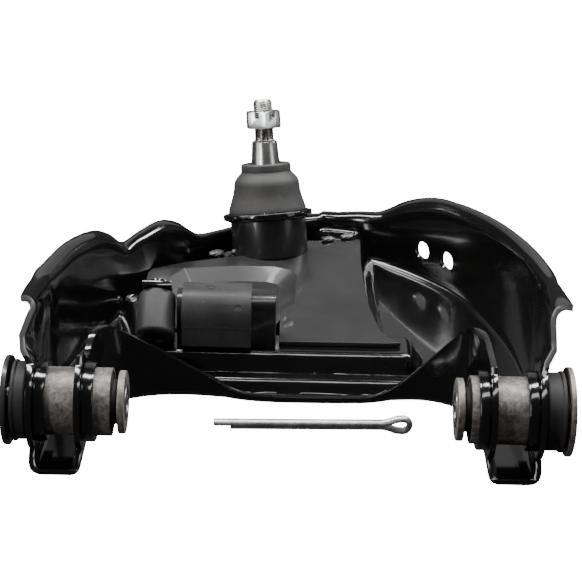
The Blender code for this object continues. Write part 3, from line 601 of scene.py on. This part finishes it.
def stamping_rows(count, floor_count=120, wall_count=12, turn=7):
    """Middle-surface points: one row for each station, from the inner wall's top to the rolled rim's tip."""
    rows = []
    for ix, iy, ox, oy, z_in, z_rim, lean in spline(STATIONS, count):
        inner = np.array([ix, iy])
        outer = np.array([ox, oy])
        span = np.linalg.norm(outer - inner)
        w = (outer - inner) / span
        wide = float(np.clip((span - 50.0) / 90.0, 0.0, 1.0))
        high = float(rise(z_rim, 5, 30))
        if ox < 0:
            high *= float(rise(oy, 25, 120))
        rim_r = 5.0 + 3.0 * high
        out_r = 6.5 + 2.5 * wide - 3.5 * wide * float(1.0 - rise(z_rim, 0, 12))
        in_r = min(5.0 + 2.0 * wide, 0.8 * (z_in - FLOOR))
        line = []

        def put(a, z):
            q = inner + w * a
            line.append((q[0], q[1], z))

        top = max(z_in, FLOOR + in_r + 0.5)
        low = FLOOR + in_r
        for k in range(wall_count):
            put(0.0, top + (low - top) * k / wall_count)
        for k in range(turn):
            a = math.radians(90.0 * k / turn)
            put(in_r * (1 - math.cos(a)), low - in_r * math.sin(a))
        for k in range(floor_count + 1):
            even = k / floor_count
            packed = float(np.interp(even, np.linspace(0, 1, len(FLOOR_T)), FLOOR_T))
            f = (0.75 * packed + 0.25 * even) * wide + even * (1.0 - wide)
            q = inner + w * (in_r + (span - in_r - out_r) * f)
            line.append((q[0], q[1], floor_height(q[0], q[1])))
        base = line[-1][2]
        for k in range(1, turn + 1):
            a = math.radians(90.0 * k / turn)
            put(span - out_r + out_r * math.sin(a), base + out_r * (1 - math.cos(a)))
        z0 = base + out_r
        z1 = max(z_rim - rim_r, z0 + 1.0)
        top_a = span + lean + press(ox, outer[1], z1)
        for k in range(1, wall_count + 1):
            f = k / wall_count
            z = z0 + (z1 - z0) * f
            put(span + lean * f + press(ox, outer[1], z), z)
        for k in range(1, turn + 1):
            a = math.radians(90.0 * k / turn)
            put(top_a + rim_r * (1 - math.cos(a)), z1 + rim_r * math.sin(a))
        flange = 3.0 + 5.0 * float(rise(z_rim, -2, 15)) - 3.0 * high
        if ox < 0:
            flange -= 5.0 * float(1.0 - rise(oy, 25, 120)) + 0.5 * float(1.0 - rise(oy, 60, 190))
        put(top_a + rim_r + flange * 0.33, z1 + rim_r - 0.015 * flange)
        put(top_a + rim_r + flange * 0.67, z1 + rim_r - 0.065 * flange)
        put(top_a + rim_r + flange, z1 + rim_r - 0.15 * flange)
        rows.append(line)
    return np.array(rows)


def thicken(rows, thickness):
    """Closed sheet around a grid of middle-surface points."""
    quad = np.cross(rows[1:, 1:] - rows[:-1, :-1], rows[:-1, 1:] - rows[1:, :-1])
    quad = -quad / np.maximum(np.linalg.norm(quad, axis=2), 1e-9)[:, :, None]
    n = np.zeros_like(rows)
    n[:-1, :-1] += quad
    n[1:, :-1] += quad
    n[:-1, 1:] += quad
    n[1:, 1:] += quad
    n = n / np.linalg.norm(n, axis=2)[:, :, None]
    a = rows + n * thickness / 2.0
    b = rows - n * thickness / 2.0
    r, c = rows.shape[:2]
    verts = np.concatenate([a.reshape(-1, 3), b.reshape(-1, 3)])
    faces = []
    for i in range(r - 1):
        for j in range(c - 1):
            p = i * c + j
            faces.append((p, p + 1, p + c + 1, p + c))
            q = r * c + p
            faces.append((q, q + c, q + c + 1, q + 1))
    edge = [(i, 0) for i in range(r)] + [(r - 1, j) for j in range(1, c)]
    edge += [(i, c - 1) for i in range(r - 2, -1, -1)] + [(0, j) for j in range(c - 2, 0, -1)]
    for (i, j), (k, m) in zip(edge, edge[1:] + edge[:1]):
        p, q = i * c + j, k * c + m
        faces.append((p, q, r * c + q, r * c + p))
    return verts, faces


def stamping():
    """The pressed arm with its holes cut. The camera-facing front edges of its ears get a lighter paint: a
    painted highlight.
    """
    verts, faces = thicken(stamping_rows(300), SHEET)
    arm = mesh_object("pressed_arm", verts, faces, PAINT)
    tools = [bore("ear_hole", SLEEVE_R + CLEAR, 77, 182, (0, 0, 0), (sign, 0, 0)) for sign in (-1, 1)]
    tools.append(bore("housing_hole", HOUSING_R + CLEAR, -40, 30, BALL, HOUSING_AXIS))
    nose = [(-80, -60), (-29, -60), (-28, -32)] + arc(0, 0, EYE_R, 232, 104, 40)
    nose += [(-3.5, 31.5), (7.0, 42.0), (22.5, 60.0), (40.0, 90.0), (-80, 90)]
    tools.append(prism("nose_profile", nose, -220, 220, PAINT))
    tools += [bore("wall_hole", WALL_HOLE_R, -25, 25, place, WALL_HOLE_AXIS, 48) for place in WALL_HOLES]
    cut(arm, tools)
    round_edges(arm, 0.45, 2, 50.0, 40.0)
    # Front edge faces that face the camera take the lighter paint, a painted highlight.
    arm.data.materials.append(CUT_EDGE_HIGHLIGHT)
    for poly in arm.data.polygons:
        x, y, z = np.array(poly.center) * 1000.0 - SHIFT
        if poly.normal.y < -0.35 and poly.normal.z > -0.2 and abs(x) > 145.0 and y < 45.0 and z > 30.0:
            poly.material_index = 1
    return finish_piece(arm, "arm", ("arm_stamping",))


stamping()

# ---------------------------------------------------------------- closing plate
PLATE_OUTLINE = [
    (-104.0, 112.0), (-104.8, 168.0), (-104.0, 206.0), (-101.5, 213.0), (-79.0, 226.0), (-45.0, 237.5),
    (24.0, 259.0), (41.0, 270.5), (48.0, 275.5), (49.6, 273.0), (49.0, 233.0), (50.0, 200.0), (52.0, 163.0),
    (57.7, 124.0), (63.0, 112.0), (71.5, 103.0), (60.0, 101.8), (-8.6, 101.5), (-8.6, 134.0), (-8.6, 149.0),
    (0.8, 160.0), (2.2, 207.0), (-2.5, 216.5), (-14.0, 221.5), (-40.0, 221.5), (-79.0, 215.0), (-90.0, 196.0),
    (-100.0, 170.0), (-101.8, 134.0), (-101.8, 112.0),
]
RECESS_OUTLINE = PLATE_OUTLINE[::-1][1:12]
RECESS_FLOOR = [
    (-99.4, 134.0), (-94.5, 168.0), (-81.0, 188.0), (-73.0, 206.0), (-40.0, 212.0), (-20.0, 212.0),
    (-12.0, 208.0), (-9.5, 200.0), (-10.5, 160.0), (-14.0, 149.0), (-14.0, 134.0),
]


def closing_plate():
    """Flat plate with a sunken pocket, open to the front; its folds are rounded."""
    n = len(PLATE_OUTLINE)
    m = len(RECESS_FLOOR)
    top = [(x, y, PLATE_TOP) for x, y in PLATE_OUTLINE] + [(x, y, PLATE_TOP - RECESS) for x, y in RECESS_FLOOR]
    rim = [PLATE_OUTLINE.index(p) for p in RECESS_OUTLINE]
    upper = [tuple(range(n)), tuple(range(n, n + m))]
    for k in range(m - 1):
        upper.append((rim[k], rim[k + 1], n + k + 1, n + k))
    total = len(top)
    verts = top + [(x, y, z - PLATE_T) for x, y, z in top]
    faces = []
    used = {}
    for f in upper:
        faces.append(f)
        faces.append(tuple(total + i for i in reversed(f)))
        for a, b in zip(f, f[1:] + f[:1]):
            key = (min(a, b), max(a, b))
            used[key] = used.get(key, 0) + 1
    faces += [(a, b, total + b, total + a) for (a, b), times in used.items() if times == 1]
    plate = mesh_object("plate", verts, faces, PLATE_PAINT)
    cut(plate, [bore("plate_hole", HOUSING_R + 2 * CLEAR, -40, 30, BALL, HOUSING_AXIS)])
    round_edges(plate, 1.5, 4, 25.0, 30.0)
    return finish_piece(plate, "arm", ("closing_plate",))


def weld(name, start, end, radius, nodes=()):
    """A low straight bead made of overlapping puddles."""
    start, end = np.asarray(start, float), np.asarray(end, float)
    length = float(np.linalg.norm(end - start))
    side = np.cross((0, 0, 1), (end - start) / length)
    count = max(24, int(length / 0.35))
    sides = 15
    verts = []
    for k in range(count + 1):
        s = length * k / count
        p = start + (end - start) * k / count
        grow = 0.30 + 0.70 * max(0.0, math.sin(math.pi * k / count)) ** 0.4
        puddle = 0.90 + 0.10 * abs(math.sin(math.pi * s / 2.4))
        for j in range(sides):
            a = math.pi * j / (sides - 1)
            r = radius * grow * puddle * (1.0 + 0.05 * math.sin(7.0 * a + s))
            verts.append(p + side * r * math.cos(a) + np.array([0, 0, 0.72 * r * math.sin(a)]))
    bead = mesh_object(name, verts, sweep_faces(count + 1, sides), WELD, 60.0)
    return finish_piece(bead, "arm", nodes)


# ---------------------------------------------------------------- bumpers
BRACKET_X = (-75.6, -11.0)
BLOCK_X = (-72.0, -27.0)
MID = 0.5 * (BLOCK_X[0] + BLOCK_X[1])


def hex_nut(name, base, direction, height, mat, nodes):
    """Six flats with turned-down corners, and a chamfered plain bore."""
    u, v, w = axes_of(direction)
    b = np.asarray(base, float)
    steps = 72
    rings = []
    verts = []
    # Height, how far the corners are turned down, and the radius where the level is round.
    levels = [(0.0, 0.9, 0), (0.6, 0.0, 0), (height - 0.6, 0.0, 0), (height, 0.9, 0),
              (height, None, NUT_BORE_R + 0.5), (height - 0.5, None, NUT_BORE_R), (0.5, None, NUT_BORE_R),
              (0.0, None, NUT_BORE_R + 0.5)]
    for t, shrink, radius in levels:
        ring = []
        for k in range(steps):
            a = 2 * math.pi * k / steps
            r = radius
            if shrink is not None:
                local = (a + math.pi / 6) % (math.pi / 3) - math.pi / 6
                r = min(NUT_HALF_FLATS / math.cos(local), NUT_HALF_FLATS * 1.155 - shrink)
            ring.append(len(verts))
            verts.append(b + w * t + r * (u * math.cos(a) + v * math.sin(a)))
        rings.append(ring)
    return finish_piece(mesh_object(name, verts, skin(rings), mat), "arm", nodes)


def bracket():
    """Bent strip that carries the block bumper."""
    path = [(97.0, -11.0), (97.0, 15.5)] + arc(106.0, 15.5, 9.0, 180, 90, 20)[1:] + [(110.0, 24.5)]
    path += arc(110.0, 18.5, 6.0, 90, 0, 16)[1:] + [(116.0, -11.0)]
    body = prism("bracket", strip_loop(path, -3.0), *BRACKET_X, CAST_PAINT)
    cut(body, [bore("bracket_hole", BOLT_HOLE_R, -8, 8, (MID, 98.5, 5.0), (0, 1, 0), 48)])
    round_edges(body, 0.5, 3, 50.0, 40.0)
    return finish_piece(body, "arm", ("bumper_bracket",))


def block_bumper():
    """Rubber block: bulged front, a raised mould line, a moulding mark and a shallow dimple."""
    front = [(-7.2, 89.0), (-6.2, 88.0), (7.5, 88.0)]
    front += [(7.5 + 20.5 * math.sin(math.radians(a)), 104.0 - 16.0 * math.cos(math.radians(a)))
              for a in range(4, 91, 4)]
    loop = [(96.7, -7.2)] + [(y, z) for z, y in front]
    loop += [(104.0, 28.0), (113.6, 28.0), (114.6, 27.5), (115.0, 26.6), (114.4, 23.5)]
    loop += arc(110.0, 18.5, 6.3, 45, 90, 6)[1:] + arc(106.0, 15.5, 9.3, 90, 180, 18)
    body = prism("block", loop, *BLOCK_X, BUMPER_RUBBER)
    pocket = bore("stud_pocket", 10.3, -2.6, 6, (MID, 96.7, 5.0), (0, 1, 0), 48, RUBBER)
    mark = revolve("mark_ring", [(2.2, -0.35), (2.9, -0.35), (2.9, 2.0), (2.2, 2.0)], (MID - 4.0, 105.5, 28.0),
                   (0, 0, 1), RUBBER, 32)
    dimple = revolve("dimple", [(0, -0.6), (2.0, -0.5), (2.6, 0.1), (2.6, 2.0), (0, 2.0)],
                     (MID + 14.0, 91.0, 20.0), (0, -0.78, 0.62), RUBBER, 32)
    cut(body, [pocket, mark, dimple])
    round_edges(body, 1.1, 4, 40.0, 40.0)
    finish_piece(body, "arm", ("block_bumper",))
    ridge = [(88.05, 6.7), (87.80, 6.8), (87.70, 7.1), (87.80, 7.4), (88.05, 7.5), (88.6, 7.5), (88.6, 6.7)]
    seam = prism("block_mould_line", ridge, BLOCK_X[0] + 0.2, BLOCK_X[1] - 0.2, BUMPER_RUBBER)
    return finish_piece(seam, "arm", ())


def block_stud():
    """Flat head moulded into the block, and the shank through the bracket."""
    prof = fillet([(0, -2.2), (10.0, -2.2), (10.0, 0.0), (4.0, 0.0), (4.0, 9.6), (3.4, 10.2), (0, 10.2)],
                  [0, 0.3, 0.3, 0.3, 0.3, 0.3, 0], 3)
    stud = revolve("block_stud", prof, (MID, 96.7, 5.0), (0, 1, 0), ZINC, 64)
    return finish_piece(stud, "arm", ("block_bumper_stud",))


def round_bumper():
    """Rubber plug on a tilted seat, with its stud and nut behind."""
    down = np.array([0.0, -math.cos(math.radians(38)), -math.sin(math.radians(38))])
    foot = np.array([-89.2, 113.5, 18.4])
    raw = [(0, 2.6), (9.4, 2.6), (9.4, 0.0), (10.8, 0.0), (11.8, 1.2), (12.2, 6.0), (12.6, 20.0), (12.8, 29.5),
           (11.8, 31.2), (7.2, 31.6), (6.8, 29.4), (0, 29.4)]
    profile = fillet(raw, [0, 0, 0, 0.6, 1.2, 3, 3, 1.6, 1.4, 0.5, 0.4, 0], 4)
    plug = revolve("bumper_plug", profile, foot, down, BUMPER_RUBBER, 96, 40)
    finish_piece(plug, "arm", ("round_bumper",))
    stud = fillet([(0, 2.3), (9.1, 2.3), (9.1, 0.3), (4.0, 0.3), (4.0, -9.4), (3.4, -10.0), (0, -10.0)],
                  [0, 0.3, 0.3, 0.4, 0.3, 0.3, 0], 3)
    finish_piece(revolve("plug_stud", stud, foot, down, PAINT, 64), "arm", ("round_bumper_stud",))
    up = np.array([0.0, -down[2], down[1]])
    back = -down

    def at(along_up, behind):
        p = foot + up * along_up + back * behind
        return (p[1], p[2])

    path = [at(-13.0, 0.3), at(8.5, 0.3), at(10.8, 1.2), at(12.0, 4.0)]
    knee = path[-1]
    path += [(knee[0] + 5.5, knee[1] - 7.0), (136.0, -8.0), (136.0, -15.7)]
    path = fillet(path, [0, 3, 3, 4, 4, 3, 0], 5, closed=False)
    seat = prism("plug_seat", strip_loop(path, 3.0), -98.5, -79.5, PAINT)
    cut(seat, [bore("seat_hole", BOLT_HOLE_R, -10, 6, foot, down, 48)])
    round_edges(seat, 0.5, 2, 50.0, 40.0)
    finish_piece(seat, "arm", ("round_bumper_seat",))
    hex_nut("plug_nut", foot + back * 3.6, back, 5.0, PAINT, ("round_bumper_nut",))


# ---------------------------------------------------------------- bushings
def bushing(tag, side, sign):
    """One bushing, from its ear collars to its washers. Lengths run outwards from the arm's middle."""
    way = (sign, 0, 0)
    home = (0, 0, 0)
    s0, s1 = side["sleeve"]
    f0, f1 = side["flange"]
    n0, n1 = side["neck"]
    wi0, wi1 = side["washer_in"]
    wo0, wo1 = side["washer_out"]
    wall = SLEEVE_R - 2.0
    pivot = f"pivot_{tag}"
    for place, (c0, c1) in zip(("outer", "inner"), side["collars"]):
        prof = fillet([(SLEEVE_R + CLEAR, c0), (COLLAR_R, c0), (COLLAR_R, c1), (SLEEVE_R + CLEAR, c1)],
                      [0.5, 1.4, 0.4, 0.2], 4)
        finish_piece(revolve(f"collar_{tag}_{place}", prof, home, way, PAINT, ROUND), "arm",
                     (f"ear_collar_{tag}_{place}",))
    prof = fillet([(wall, s0), (SLEEVE_R, s0), (SLEEVE_R, s1), (wall, s1)], 0.35, 3)
    finish_piece(revolve(f"tube_{tag}", prof, home, way, SLEEVE, ROUND), "arm",
                 (f"bushing_sleeve_{tag}",))
    prof = [(INNER_R + CLEAR, n0 + 0.3), (12.6, n0 + 0.3), (13.4, n0 + 1.2), (13.6, n1 - 0.6),
            (wall - CLEAR, s0 + 0.8), (wall - CLEAR, s1 + 0.4), (wall - CLEAR, f0 + 0.3), (23.6, f0 + 0.3),
            (23.6, f1 - 2.6), (24.6, f1 - 2.0), (24.6, f1), (INNER_R + CLEAR, f1)]
    prof = fillet(prof, [0.2, 0.5, 1, 1, 1, 0, 0.4, 1.6, 0.8, 0.8, 0.9, 0.3], 4)
    finish_piece(revolve(f"rubber_{tag}", prof, home, way, RUBBER, ROUND, 50), "arm",
                 (f"bushing_rubber_{tag}",))
    prof = fillet([(BORE_R, wi0 - 0.6), (INNER_R, wi0 - 0.6), (INNER_R, wo1), (BORE_R, wo1)], 0.6, 3)
    finish_piece(revolve(f"inner_tube_{tag}", prof, home, way, BARE), pivot,
                 (f"bushing_inner_sleeve_{tag}",))
    prof = fillet([(INNER_R + CLEAR, wi0), (19.0, wi0), (19.0, wi1), (INNER_R + CLEAR, wi1)],
                  [0.2, 0.9, 0.7, 0.2], 4)
    finish_piece(revolve(f"inner_washer_{tag}", prof, home, way, WORN_STEEL, ROUND), pivot,
                 (f"bushing_washer_in_{tag}",))
    prof = fillet([(INNER_R + CLEAR, wo0), (27.0, wo0), (27.0, wo1 - 0.1), (INNER_R + CLEAR, wo1 - 0.1)],
                  [0.2, 0.5, 0.6, 0.4], 4)
    face = WASHER_PAINT if sign < 0 else WORN_STEEL
    finish_piece(revolve(f"outer_washer_{tag}", prof, home, way, face, ROUND), pivot,
                 (f"bushing_washer_out_{tag}",))


# ---------------------------------------------------------------- ball joint
def ball_part(angles, r):
    """Profile points on a ball, by the angle above its middle."""
    return [(r * math.cos(math.radians(a)), r * math.sin(math.radians(a))) for a in angles]


def ball_joint():
    """Housing, cover, pad and bearings, all turned about the housing's axis."""
    h = HOUSING_AXIS
    prof = fillet([(21.0, -12.0), (21.0, 11.0), (15.6, 12.2), (15.6, 15.0), (17.0, 16.4), (26.6, 16.4),
                   (28.0, 15.0), (28.0, -15.4), (27.0, -16.4), (23.5, -16.4), (23.5, -12.0)],
                  [0, 1, 0.5, 0.6, 0.6, 1, 1, 0.8, 0.8, 0.5, 0], 3)
    finish_piece(revolve("housing", prof, BALL, h, CAST_PAINT, ROUND), "arm", ("ball_housing",))
    prof = fillet([(0, -16.2), (12.0, -16.2), (14.0, -15.8), (23.1, -15.8), (23.1, -12.4), (21.4, -12.4),
                   (20.8, -14.0), (0, -14.0)], [0, 2, 2, 0.4, 0.3, 0.3, 0.5, 0], 3)
    finish_piece(revolve("cover", prof, BALL, h, BARE, 96), "arm", ("housing_cover",))
    prof = [(20.5, -13.6), (20.5, -4.2), (19.35, -4.2)] + ball_part((-20, -28), 19.3)
    prof += [(16.2, -10.6), (16.2, -13.6)]
    finish_piece(revolve("pad", prof, BALL, h, RUBBER, 96), "arm", ("preload_pad",))
    shell = ball_part(range(-34, -9, 4), 19.0) + ball_part(range(-10, -35, -4), 16.3)
    finish_piece(revolve("cup", shell, BALL, h, POLYMER, 96), "arm", ("lower_cup",))
    prof = [(20.6, -0.4), (20.6, 10.6), (14.6, 11.4)] + ball_part(range(32, -1, -4), 16.3) + [(16.6, -0.4)]
    finish_piece(revolve("bearing", prof, BALL, h, POLYMER, 96), "arm", ("upper_bearing",))


def ball_stud():
    """Ball, waist, ground taper, undercut and a cut thread with a chamfered tip."""
    u, v, w = axes_of(STUD_AXIS)
    steps = ROUND
    pitch, root, depth, crest = 1.5, 6.60, 0.60, 7.2
    thread_start, thread_end = 72.1, 100.2
    rise_step = pitch / 8
    prof = [(0, BALL_R * math.sin(math.radians(-38)))] + ball_part(range(-38, 55, 4), BALL_R)
    prof += [(8.5, 14.6), (8.5, 22.0), (10.0, 26.0), (11.2, 31.0), (11.2, 38.0), (11.2, 46.0), (10.6, 53.6),
             (9.35, 69.4), (9.1, 70.0), (7.3, 71.0), (7.05, 71.4), (7.05, 72.0)]
    prof += [(None, thread_start + rise_step * k) for k in range(int((thread_end - thread_start) / rise_step))]
    prof += [(5.6, 100.7), (0, 100.7)]
    verts = []
    rings = []
    for r, t in prof:
        if r is not None and r < 1e-9:
            rings.append([len(verts)])
            verts.append(BALL + w * t)
            continue
        ring = []
        for k in range(steps):
            a = 2 * math.pi * k / steps
            rr = r
            if r is None:
                phase = ((t / pitch) - a / (2 * math.pi)) % 1.0
                ridge = 1.0 - abs(phase * 2.0 - 1.0)
                ridge = min(1.0, max(0.0, ridge * 1.35 - 0.12))
                rr = min(root + depth * ridge, crest - max(0.0, (t - 98.9) * 1.05))
            ring.append(len(verts))
            verts.append(BALL + w * t + rr * (u * math.cos(a) + v * math.sin(a)))
        rings.append(ring)
    stud = mesh_object("stud_piece", verts, skin(rings), GROUND, 40)
    cut(stud, [bore("pin_hole", PIN_HOLE_R, -12, 12, BALL + w * PIN_HOLE_AT, u, 32, GROUND)])
    stud.data.materials.append(THREAD)
    axis = row(BALL)
    for poly in stud.data.polygons:
        t = float((np.array(poly.center) - axis) @ w) * 1000.0
        poly.material_index = 1 if t > 71.2 else 0
    return finish_piece(stud, "stud", ("ball_stud",))


def boot():
    """Clamp ring, a skirt that leans from the housing's axis to the stud's, a dome round the stud, and the lip
    that grips it.
    """
    h, s = HOUSING_AXIS, STUD_AXIS
    prof = fillet([(28.4, 12.0), (29.6, 12.0), (33.0, 13.4), (33.0, 17.4), (31.0, 17.8), (28.4, 17.0)],
                  [0.2, 1, 1.0, 0.8, 0.6, 0.2], 3)
    finish_piece(revolve("clamp_ring", prof, BALL, h, PAINT, ROUND), "arm", ("boot_ring",))
    outer = [(28.9, 18.1), (28.8, 19.6), (28.4, 21.4), (27.3, 25.0), (25.7, 30.0), (24.8, 34.0), (24.3, 38.1)]
    inner = [(21.9, 38.1), (22.4, 34.0), (23.6, 29.0), (25.4, 24.0), (26.3, 18.1)]
    prof = list(spline(outer, 34)) + list(spline(inner, 16))
    skirt = revolve("boot_lower", prof, BALL, h, BOOT_RUBBER, ROUND, 60, boot_lean)
    finish_piece(skirt, None, ("boot_skirt",),
                 blend=("arm", "boot_upper", lift(h, 20.0), lift(h, 38.0)))
    outer = [(24.3, 38.15), (24.1, 39.8), (23.3, 42.0), (21.6, 44.4), (19.4, 46.6), (18.5, 48.3)]
    inner = [(14.0, 48.3), (14.6, 46.4), (18.4, 44.2), (20.8, 41.4), (21.9, 38.15)]
    prof = list(spline(outer, 26)) + list(spline(inner, 14))
    dome = revolve("boot_upper_part", prof, BALL, s, BOOT_RUBBER, ROUND, 60)
    finish_piece(dome, None, ("boot_dome",),
                 blend=("boot_upper", "boot_top", lift(s, 39.0), lift(s, 47.5)))
    prof = fillet([(18.4, 48.4), (18.4, 53.8), (11.7, 53.8), (11.7, 48.4)], [0.3, 1.2, 0.5, 0.2], 4)
    finish_piece(revolve("boot_lip", prof, BALL, s, BOOT_RUBBER, ROUND), "boot_top", ("boot_collar",))


def boot_lean(t):
    """The boot leaves the housing square to it and ends square to the stud."""
    f = float(rise(t, 19.0, 38.0))
    return HOUSING_AXIS * (1.0 - f) + STUD_AXIS / np.linalg.norm(STUD_AXIS) * f


def lift(direction, t):
    """The place in metres that is t along a direction from the ball's centre."""
    d = np.asarray(direction, float)
    d = d / np.linalg.norm(d)
    return tuple(row(BALL + d * t))


def castle_nut():
    """Hexagon cut from a turned blank, with three slots across its top."""
    u, v, w = axes_of(STUD_AXIS)
    base = BALL + w * NUT_SEAT
    prof = fillet([(7.35, 0.6), (7.9, 0.0), (13.0, 0.0), (14.2, 1.4), (14.2, 10.8), (12.4, 12.6), (7.9, 12.6),
                   (7.35, 12.0)], [0, 0.2, 0.3, 0.4, 0.4, 0.4, 0.2, 0], 2)
    nut = revolve("slotted_nut", prof, base, STUD_AXIS, ZINC, 144)
    faces = [(0, 2, 4, 6), (1, 7, 5, 3), (0, 1, 3, 2), (2, 3, 5, 4), (4, 5, 7, 6), (6, 7, 1, 0)]
    tools = []
    # Number of cuts, then each cut's reach outwards, sideways and upwards.
    for name, count, out, wide, up in (("nut_flat", 6, (11.9, 30), 20, (-5.0, 20.0)),
                                       ("nut_slot", 3, (-20, 20), 1.9, (7.6, 20.0))):
        for k in range(count):
            a = math.pi / 3 * k + math.radians(8)
            d = u * math.cos(a) + v * math.sin(a)
            side = np.cross(w, d)
            corners = ((out[0], -wide), (out[1], -wide), (out[1], wide), (out[0], wide))
            box = [base + d * p + side * q + w * t for p, q in corners for t in up]
            tools.append(mesh_object(name, box, faces, ZINC))
    cut(nut, tools)
    round_edges(nut, 0.35, 3, 30.0, 40.0)
    return finish_piece(nut, "nut", ("castle_nut",))


def cotter_pin():
    """Split pin on the floor between the legs: two half-round legs, one shorter, joined by an eye."""
    line = [(-50.0, 0.15), (-20.0, 0.15), (10.0, 0.15), (40.0, 0.15), (54.0, 0.15), (57.0, 0.35), (59.5, 0.95),
            (61.5, 1.7), (63.5, 2.5), (65.5, 3.05), (68.0, 3.3)]
    line += arc(68.0, 0.0, 3.3, 90, -90, 24)[1:]
    line += [(x, -z) for x, z in line[9:4:-1]] + [(54.0, -0.15), (40.0, -0.15), (10.0, -0.15), (-39.5, -0.15)]
    pts = np.array(line)
    seg = np.diff(pts, axis=0)
    seg = seg / np.linalg.norm(seg, axis=1)[:, None]
    tang = np.concatenate([seg[:1], seg[:-1] + seg[1:], seg[-1:]])
    tang = tang / np.linalg.norm(tang, axis=1)[:, None]
    bow = [(-3.05, 0.0)] + [(3.3 * math.sin(math.radians(a)), 3.2 * math.cos(math.radians(a)))
                            for a in range(-76, 77, 8)] + [(3.05, 0.0)]
    sides = len(bow)
    # The pin lies a little askew, with its tips lower than its eye.
    place, eye_x, askew, droop = (1.8, 31.3, -28.45), 68.0, 0.021, 0.0293
    verts = []
    for (x, z), t in zip(pts, tang):
        for b, d in bow:
            px = x - t[1] * d
            verts.append((px + place[0], place[1] - askew * px + b,
                          z + t[0] * d + place[2] - droop * (eye_x - px)))
    pin = mesh_object("split_pin", verts, sweep_faces(len(pts), sides), PIN_ZINC, 45)
    return finish_piece(pin, "pin", ("cotter_pin",))


# CAD node, or None for a bead that has no node; middle x, y; half length along x, y; radius.
BEADS = (("weld_left_far", -57.0, 247.2, 5.4, 1.9, 3.9), (None, -41.5, 252.2, 4.4, 1.4, 3.0),
         ("weld_right_near", 25.5, 278.6, 4.4, 1.9, 3.2), ("weld_right_far", 40.0, 284.4, 4.5, 1.8, 3.4))
BEAD_Z = PLATE_TOP - 2.2

closing_plate()
for name, x, y, dx, dy, r in BEADS:
    weld("bead_" + (name or "left_near"), (x - dx, y - dy, BEAD_Z), (x + dx, y + dy, BEAD_Z), r,
         (name,) if name else ())
bracket()
block_bumper()
round_bumper()
block_stud()
hex_nut("block_nut", (MID, 100.3, 5.0), (0, 1, 0), 6.0, ZINC, ("block_bumper_nut",))
bushing("left", LEFT, -1)
bushing("right", RIGHT, 1)
ball_joint()
ball_stud()
boot()
castle_nut()
cotter_pin()


# ---------------------------------------------------------------- floor, light and camera
def area(name, place, target, size, power, size_y):
    lamp = bpy.data.lights.new(name, "AREA")
    lamp.shape = "RECTANGLE"
    lamp.size = size
    lamp.size_y = size_y
    lamp.energy = power
    obj = bpy.data.objects.new(name, lamp)
    obj.location = place
    obj.rotation_euler = (Vector(target) - Vector(place)).to_track_quat("-Z", "Y").to_euler()
    bpy.context.scene.collection.objects.link(obj)


def studio():
    """White floor that shines only to the camera, a faint world, and the lamps around the arm."""
    n = Nodes("floor_white")
    cloud = n.noise(3.0, 2.0, 0.5)
    n.put(Base_Color=n.ramp(cloud, [(0.3, (0.88, 0.88, 0.88)), (0.7, (0.92, 0.92, 0.92))]), Roughness=0.9,
          Specular_IOR_Level=0.1, Emission_Color=(1.0, 1.0, 1.0), Emission_Strength=16.0)
    mesh = bpy.data.meshes.new("floor")
    mesh.from_pydata([(-6, -6, 0), (6, -6, 0), (6, 6, 0), (-6, 6, 0)], [], [(0, 1, 2, 3)])
    mesh.materials.append(n.mat)
    floor = bpy.data.objects.new("floor", mesh)
    floor.location.z = -0.0003
    floor.visible_glossy = False
    floor.visible_diffuse = False
    bpy.context.scene.collection.objects.link(floor)
    world = bpy.data.worlds.new("studio")
    world.use_nodes = True
    background = world.node_tree.nodes["Background"]
    background.inputs["Color"].default_value = (1.0, 1.0, 1.0, 1.0)
    background.inputs["Strength"].default_value = 0.05
    bpy.context.scene.world = world
    area("back_wall", (0.0, 2.4, 1.25), (0, 0.0, 0.0), 3.2, 5.0, 1.5)
    area("top_left", (-0.62, 0.30, 1.15), (-0.05, 0.10, 0), 0.22, 26.0, 1.3)
    area("top_right", (0.70, 0.40, 1.10), (0.05, 0.10, 0), 0.22, 26.0, 1.3)
    area("front_left", (-0.95, -0.95, 0.50), (0, 0, 0.05), 0.16, 4.5, 0.7)
    area("left_panel", (-1.15, -0.55, 0.55), (0, 0.1, 0.08), 1.0, 3.4, 0.9)
    area("right_panel", (1.25, -0.45, 0.45), (0, 0.1, 0.08), 0.5, 1.6, 0.8)
    area("front_top", (0.25, -0.55, 1.35), (0, 0, 0.03), 0.9, 5.0, 0.25)


def camera():
    """Long lens from the bushing side, 25 degrees above the arm and rolled slightly."""
    pitch = math.radians(25.0)
    roll = math.radians(1.27)
    place = Vector((0.000074, -1.011274, 0.516607))
    ahead = Vector((0.0, math.cos(pitch), -math.sin(pitch)))
    up = Vector((0.0, math.sin(pitch), math.cos(pitch)))
    side = Vector((1.0, 0.0, 0.0))
    right = side * math.cos(roll) + up * math.sin(roll)
    top = up * math.cos(roll) - side * math.sin(roll)
    lens = bpy.data.cameras.new("camera")
    lens.lens = 102.2
    lens.sensor_width = 36.0
    lens.clip_start = 0.05
    obj = bpy.data.objects.new("camera", lens)
    turn = Matrix((right, top, -ahead)).transposed()
    obj.matrix_world = Matrix.Translation(place) @ turn.to_4x4()
    bpy.context.scene.collection.objects.link(obj)
    bpy.context.scene.camera = obj


studio()
camera()
